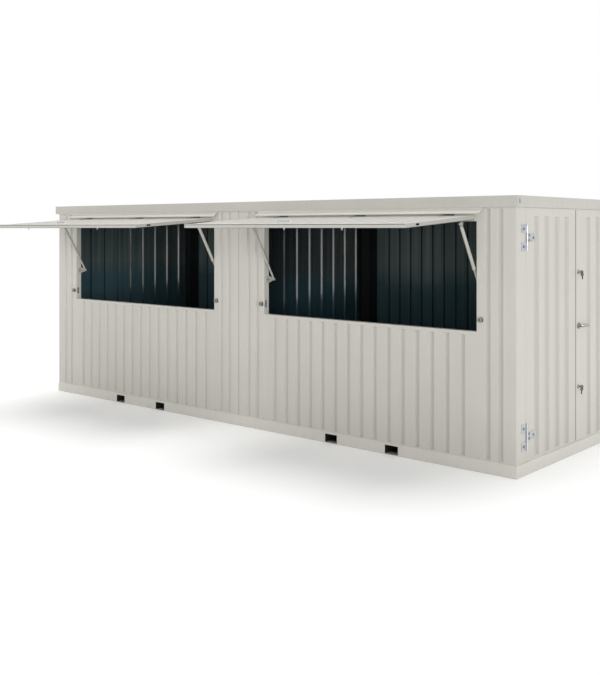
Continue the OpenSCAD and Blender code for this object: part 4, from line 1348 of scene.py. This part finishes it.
@dataclass
class Seals:
    """Rubber between the modules and the meeting leaves, pale strips round the leaves, filler over the drip caps."""

    seam_half: float = 0.0019
    seam_back: float = 0.004
    seam_depth: float = 0.02
    meeting_y: tuple[float, float] = (-0.0028, 0.0012)
    meeting_x: tuple[float, float] = (2.974, 2.9985)
    leaf_y: tuple[float, float] = (0.003, 0.919)
    leaf_z: tuple[float, float] = (0.106, 2.104)
    post_y: float = 0.925
    side_x: tuple[float, float] = (2.985, 2.9992)
    play: float = 0.0004
    cover_y: tuple[float, float] = (-0.0078, -0.0032)
    cover_t: float = 0.0022
    filler_half: float = 1.2145
    filler_y: tuple[float, float] = (-1.117, -1.0915)
    filler_z: tuple[float, float] = (2.0925, 2.1092)
    filler_wedge: float = 0.1
    filler_rim: float = 0.003
    filler_hollow: float = 0.002
    strip_round: float = 0.0008
    end_gap: float = 0.004
    meeting_rim: float = 0.004
    meeting_hollow: float = 0.0012
    meeting_round: float = 0.0006
    cover_taper: float = 0.55
    cover_round: float = 0.0005
    sweep_gap: float = 0.002
    lip_rim: float = 0.0014
    lip_swell: float = 0.0005
    lip_round: float = 0.0004

    def build(self) -> None:
        """Models the seals of the seam, the leaves, the door posts and the drip caps."""
        self._seam()
        self._fillers()
        self._meeting()
        self._hinge_sides()
        for flip, leaf in ((-1, "front_door"), (1, "back_door")):
            self._sweeps(flip, leaf)

    def _seam(self) -> None:
        """A strip in the gap between the modules, front and back."""
        strips = []
        for end in (-1, 1):
            outer = end * (-MODULE.front_y - self.seam_back)
            inner = outer - end * self.seam_depth
            strips.append(Bench.block((-self.seam_half, min(outer, inner), MODULE.wall_z),
                                      (self.seam_half, max(outer, inner), MODULE.eave_z)))
        strip = Bench.joined(strips)
        Bench.soften(strip, self.strip_round)
        Bench.hand_over(strip, "seam_strips", "structure", "inside_paint", Finishes.rubber.material)

    def _fillers(self) -> None:
        """A wedge of filler between each drip cap and the eave above it."""
        wedges = []
        for side in Side:
            middle = side.value * MODULE.half_length
            wedge = Bench.block((middle - self.filler_half, self.filler_y[0], self.filler_z[0]),
                                (middle + self.filler_half, self.filler_y[1], self.filler_z[1]))
            with Bench.editing(wedge):
                Bench.pick(wedge, Facing.BACK.sees)
                bpy.ops.transform.resize(value=(1.0, 1.0, self.filler_wedge),
                                         center_override=(middle, self.filler_y[1], self.filler_z[1]))
                Bench.pick(wedge, Facing.FRONT.sees)
                bpy.ops.mesh.inset(thickness=self.filler_rim)
                bpy.ops.transform.translate(value=(0.0, self.filler_hollow, 0.0))
            Bench.soften(wedge, self.strip_round)
            wedges.append(wedge)
        Bench.hand_over(Bench.joined(wedges), "drip_cap_filler", "structure", "wall_paint",
                        Finishes.pale_seal.material)

    def _meeting(self) -> None:
        """A dark lip and its cover on the edge of the front leaf, which close the gap to the other leaf."""
        low, high = self.leaf_z[0] + self.end_gap, self.leaf_z[1] - self.end_gap
        meeting = Bench.block((self.meeting_x[0], self.meeting_y[0], low), (self.meeting_x[1], self.meeting_y[1], high))
        with Bench.editing(meeting):
            Bench.pick(meeting, Facing.BACK.sees)
            bpy.ops.mesh.inset(thickness=self.meeting_rim)
            bpy.ops.transform.translate(value=(0.0, -self.meeting_hollow, 0.0))
        Bench.soften(meeting, self.meeting_round)
        cover = Bench.block((MODULE.end_x, self.cover_y[0], low),
                            (MODULE.end_x + self.cover_t, self.cover_y[1], high))
        with Bench.editing(cover):
            Bench.pick(cover, Facing.RIGHT.sees)
            bpy.ops.transform.resize(value=(1.0, self.cover_taper, 1.0))
        Bench.soften(cover, self.cover_round)
        Bench.hand_over(Bench.joined([meeting, cover]), "meeting_seal", "front_door", "inside_paint",
                        Finishes.rubber.material)

    def _hinge_sides(self) -> None:
        """Pale strips in the gaps between the posts and the leaves, held by the posts."""
        strips = []
        for flip in (-1, 1):
            near, far = sorted((flip * (self.leaf_y[1] + self.play), flip * self.post_y))
            strips.append(self._lip((self.side_x[0], near, self.leaf_z[0]), (self.side_x[1], far, self.leaf_z[1])))
        Bench.hand_over(Bench.joined(strips), "post_seals", "structure", "trim_paint", Finishes.pale_seal.material)

    def _sweeps(self, flip: int, leaf: str) -> None:
        """Pale strips under and over one leaf, which ride on it.

        Args:
            flip: The leaf's side of the middle, -1 or 1.
            leaf: The body that carries them.
        """
        near, far = sorted((flip * (self.leaf_y[0] + self.sweep_gap), flip * (self.leaf_y[1] - self.sweep_gap)))
        low, high = self.leaf_z
        sweeps = [self._lip((self.side_x[0], near, MODULE.wall_z + self.play), (self.side_x[1], far, low)),
                  self._lip((self.side_x[0], near, high), (self.side_x[1], far, MODULE.eave_z - self.play))]
        Bench.hand_over(Bench.joined(sweeps), f"{leaf}_sweeps", leaf, "trim_paint", Finishes.pale_seal.material)

    def _lip(self, low: Point, high: Point) -> bpy.types.Object:
        """One strip with a bead on its outer face and rounded edges.

        Args:
            low: The corner with the lowest x, y and z.
            high: The corner with the highest ones.

        Returns:
            The strip, in place.
        """
        lip = Bench.block(low, high)
        with Bench.editing(lip):
            Bench.pick(lip, Facing.RIGHT.sees)
            bpy.ops.mesh.inset(thickness=self.lip_rim)
            bpy.ops.transform.translate(value=(self.lip_swell, 0.0, 0.0))
        Bench.soften(lip, self.lip_round)
        return lip


@dataclass(frozen=True)
class SunLamp:
    """One broad sun lamp, with its turn and the angle it fills in degrees."""

    name: str
    strength: float
    turn: tuple[float, float, float]
    angle: float

    def build(self) -> None:
        """Adds the lamp to the scene."""
        sun = bpy.data.lights.new(self.name, "SUN")
        sun.energy = self.strength
        sun.angle = math.radians(self.angle)
        lamp = bpy.data.objects.new(self.name, sun)
        lamp.rotation_euler = [math.radians(turn) for turn in self.turn]
        bpy.context.scene.collection.objects.link(lamp)


@dataclass
class Studio:
    """The camera of the photograph's view, a pale floor, three soft lamps and a plain sky."""

    eye: Point = (6.3952, -7.6132, 1.948)
    heading: float = math.radians(40.6416)
    focal_px: float = 925.0
    horizon_px: float = 227.735
    image: tuple[int, int] = (600, 675)
    sensor: float = 36.0
    far: float = 200.0
    sky_low: float = 0.65
    sky_high: float = 0.18
    lamps: tuple[SunLamp, ...] = (SunLamp("high_sun", 1.75, (-3.0, -4.0, 0.0), 36.0),
                                  SunLamp("front_sun", 0.58, (87.5, 0.0, 30.0), 26.0),
                                  SunLamp("side_sun", 0.92, (86.0, 0.0, 64.0), 20.0))
    floor_r: float = 16.0
    floor_sides: int = 96
    floor_drop: float = 0.001
    floor_colour: Colour = (0.82, 0.82, 0.815)
    floor_fade: tuple[float, float] = (0.45, 0.95)
    floor_lift: float = 0.3
    floor_roughness: float = 0.9

    def build(self) -> None:
        """Sets up the camera, the floor and the light."""
        scene = bpy.context.scene
        scene.view_settings.view_transform = "Standard"
        scene.camera = self._camera()
        for lamp in self.lamps:
            lamp.build()
        self._sky()
        self._floor()

    def _camera(self) -> bpy.types.Object:
        """A level camera whose shift keeps the object's uprights parallel.

        Returns:
            The camera.
        """
        long_side = max(self.image)
        lens = bpy.data.cameras.new("photo_camera")
        lens.sensor_width = self.sensor
        lens.lens = self.focal_px * self.sensor / long_side
        lens.shift_y = (self.horizon_px - self.image[1] / 2) / long_side
        lens.clip_end = self.far
        camera = bpy.data.objects.new("photo_camera", lens)
        camera.location = self.eye
        camera.rotation_euler = (math.pi / 2, 0.0, self.heading)
        bpy.context.scene.collection.objects.link(camera)
        return camera

    def _sky(self) -> None:
        """A sky that is white to the camera and in reflections, and lights most from low down."""
        world = bpy.data.worlds.new("soft_sky")
        world.use_nodes = True
        nodes, links = world.node_tree.nodes, world.node_tree.links
        background = nodes["Background"]
        background.inputs["Color"].default_value = (1.0, 1.0, 1.0, 1.0)
        split = nodes.new("ShaderNodeSeparateXYZ")
        links.new(nodes.new("ShaderNodeTexCoord").outputs["Generated"], split.inputs[0])
        slope = nodes.new("ShaderNodeMapRange")
        links.new(split.outputs[2], slope.inputs[0])
        slope.inputs[3].default_value = self.sky_low
        slope.inputs[4].default_value = self.sky_high
        links.new(self._shown(nodes, links, slope.outputs[0], 1.0), background.inputs["Strength"])
        bpy.context.scene.world = world

    @staticmethod
    def _shown(nodes: bpy.types.Nodes, links: bpy.types.NodeLinks, dim: Socket | float, bright: float) -> Socket:
        """A strength that is bright for camera, glossy and transmission rays and dim for the rest.

        Args:
            nodes: The nodes of the world or material.
            links: Its links.
            dim: The strength for the other rays: a value or a socket.
            bright: The strength for those three kinds of ray.

        Returns:
            The socket with the strength.
        """
        path = nodes.new("ShaderNodeLightPath")
        seen = path.outputs["Is Camera Ray"]
        for ray in ("Is Glossy Ray", "Is Transmission Ray"):
            either = nodes.new("ShaderNodeMath")
            either.operation = "MAXIMUM"
            links.new(seen, either.inputs[0])
            links.new(path.outputs[ray], either.inputs[1])
            seen = either.outputs[0]
        level = nodes.new("ShaderNodeMapRange")
        links.new(seen, level.inputs[0])
        if isinstance(dim, Socket):
            links.new(dim, level.inputs[3])
        else:
            level.inputs[3].default_value = dim
        level.inputs[4].default_value = bright
        return level.outputs[0]

    def _floor(self) -> bpy.types.Object:
        """A pale round floor that keeps the bar's shadow and fades into the background.

        Returns:
            The floor.
        """
        Bench.clear()
        bpy.ops.mesh.primitive_circle_add(vertices=self.floor_sides, radius=self.floor_r, fill_type="NGON",
                                          location=(0.0, 0.0, -self.floor_drop))
        floor = bpy.context.active_object
        floor.name = "studio_floor"
        board = Board("studio_floor")
        nodes, links = board.tree.nodes, board.tree.links
        board.shader.inputs["Roughness"].default_value = self.floor_roughness
        board.shader.inputs["Base Color"].default_value = opaque(self.floor_colour)
        board.shader.inputs["Specular IOR Level"].default_value = 0.0
        board.shader.inputs["Emission Color"].default_value = (1.0, 1.0, 1.0, 1.0)
        links.new(self._shown(nodes, links, 0.0, self.floor_lift), board.shader.inputs["Emission Strength"])
        away = board.put("ShaderNodeVectorMath", {0: board.coordinates.outputs["Object"]}, operation="LENGTH")
        near, far = (share * self.floor_r for share in self.floor_fade)
        links.new(board.span(away.outputs["Value"], near, far, 1.0, 0.0), board.shader.inputs["Alpha"])
        floor.data.materials.append(board.material)
        return floor


def main() -> None:
    """Builds the studio, the finishes and the pieces in order."""
    logging.basicConfig(level=logging.INFO, format="%(message)s")
    Studio().build()
    PaintWork().dress()
    DoorHinges().build()
    LockKeys().build()
    HatchFittings().build()
    WallFixings().build()
    Seals().build()
    for side in Side:
        FlapFittings(side).build()
        StrutFittings(side).build()
        RoofFixings().build(side)


if __name__ == "__main__":
    main()
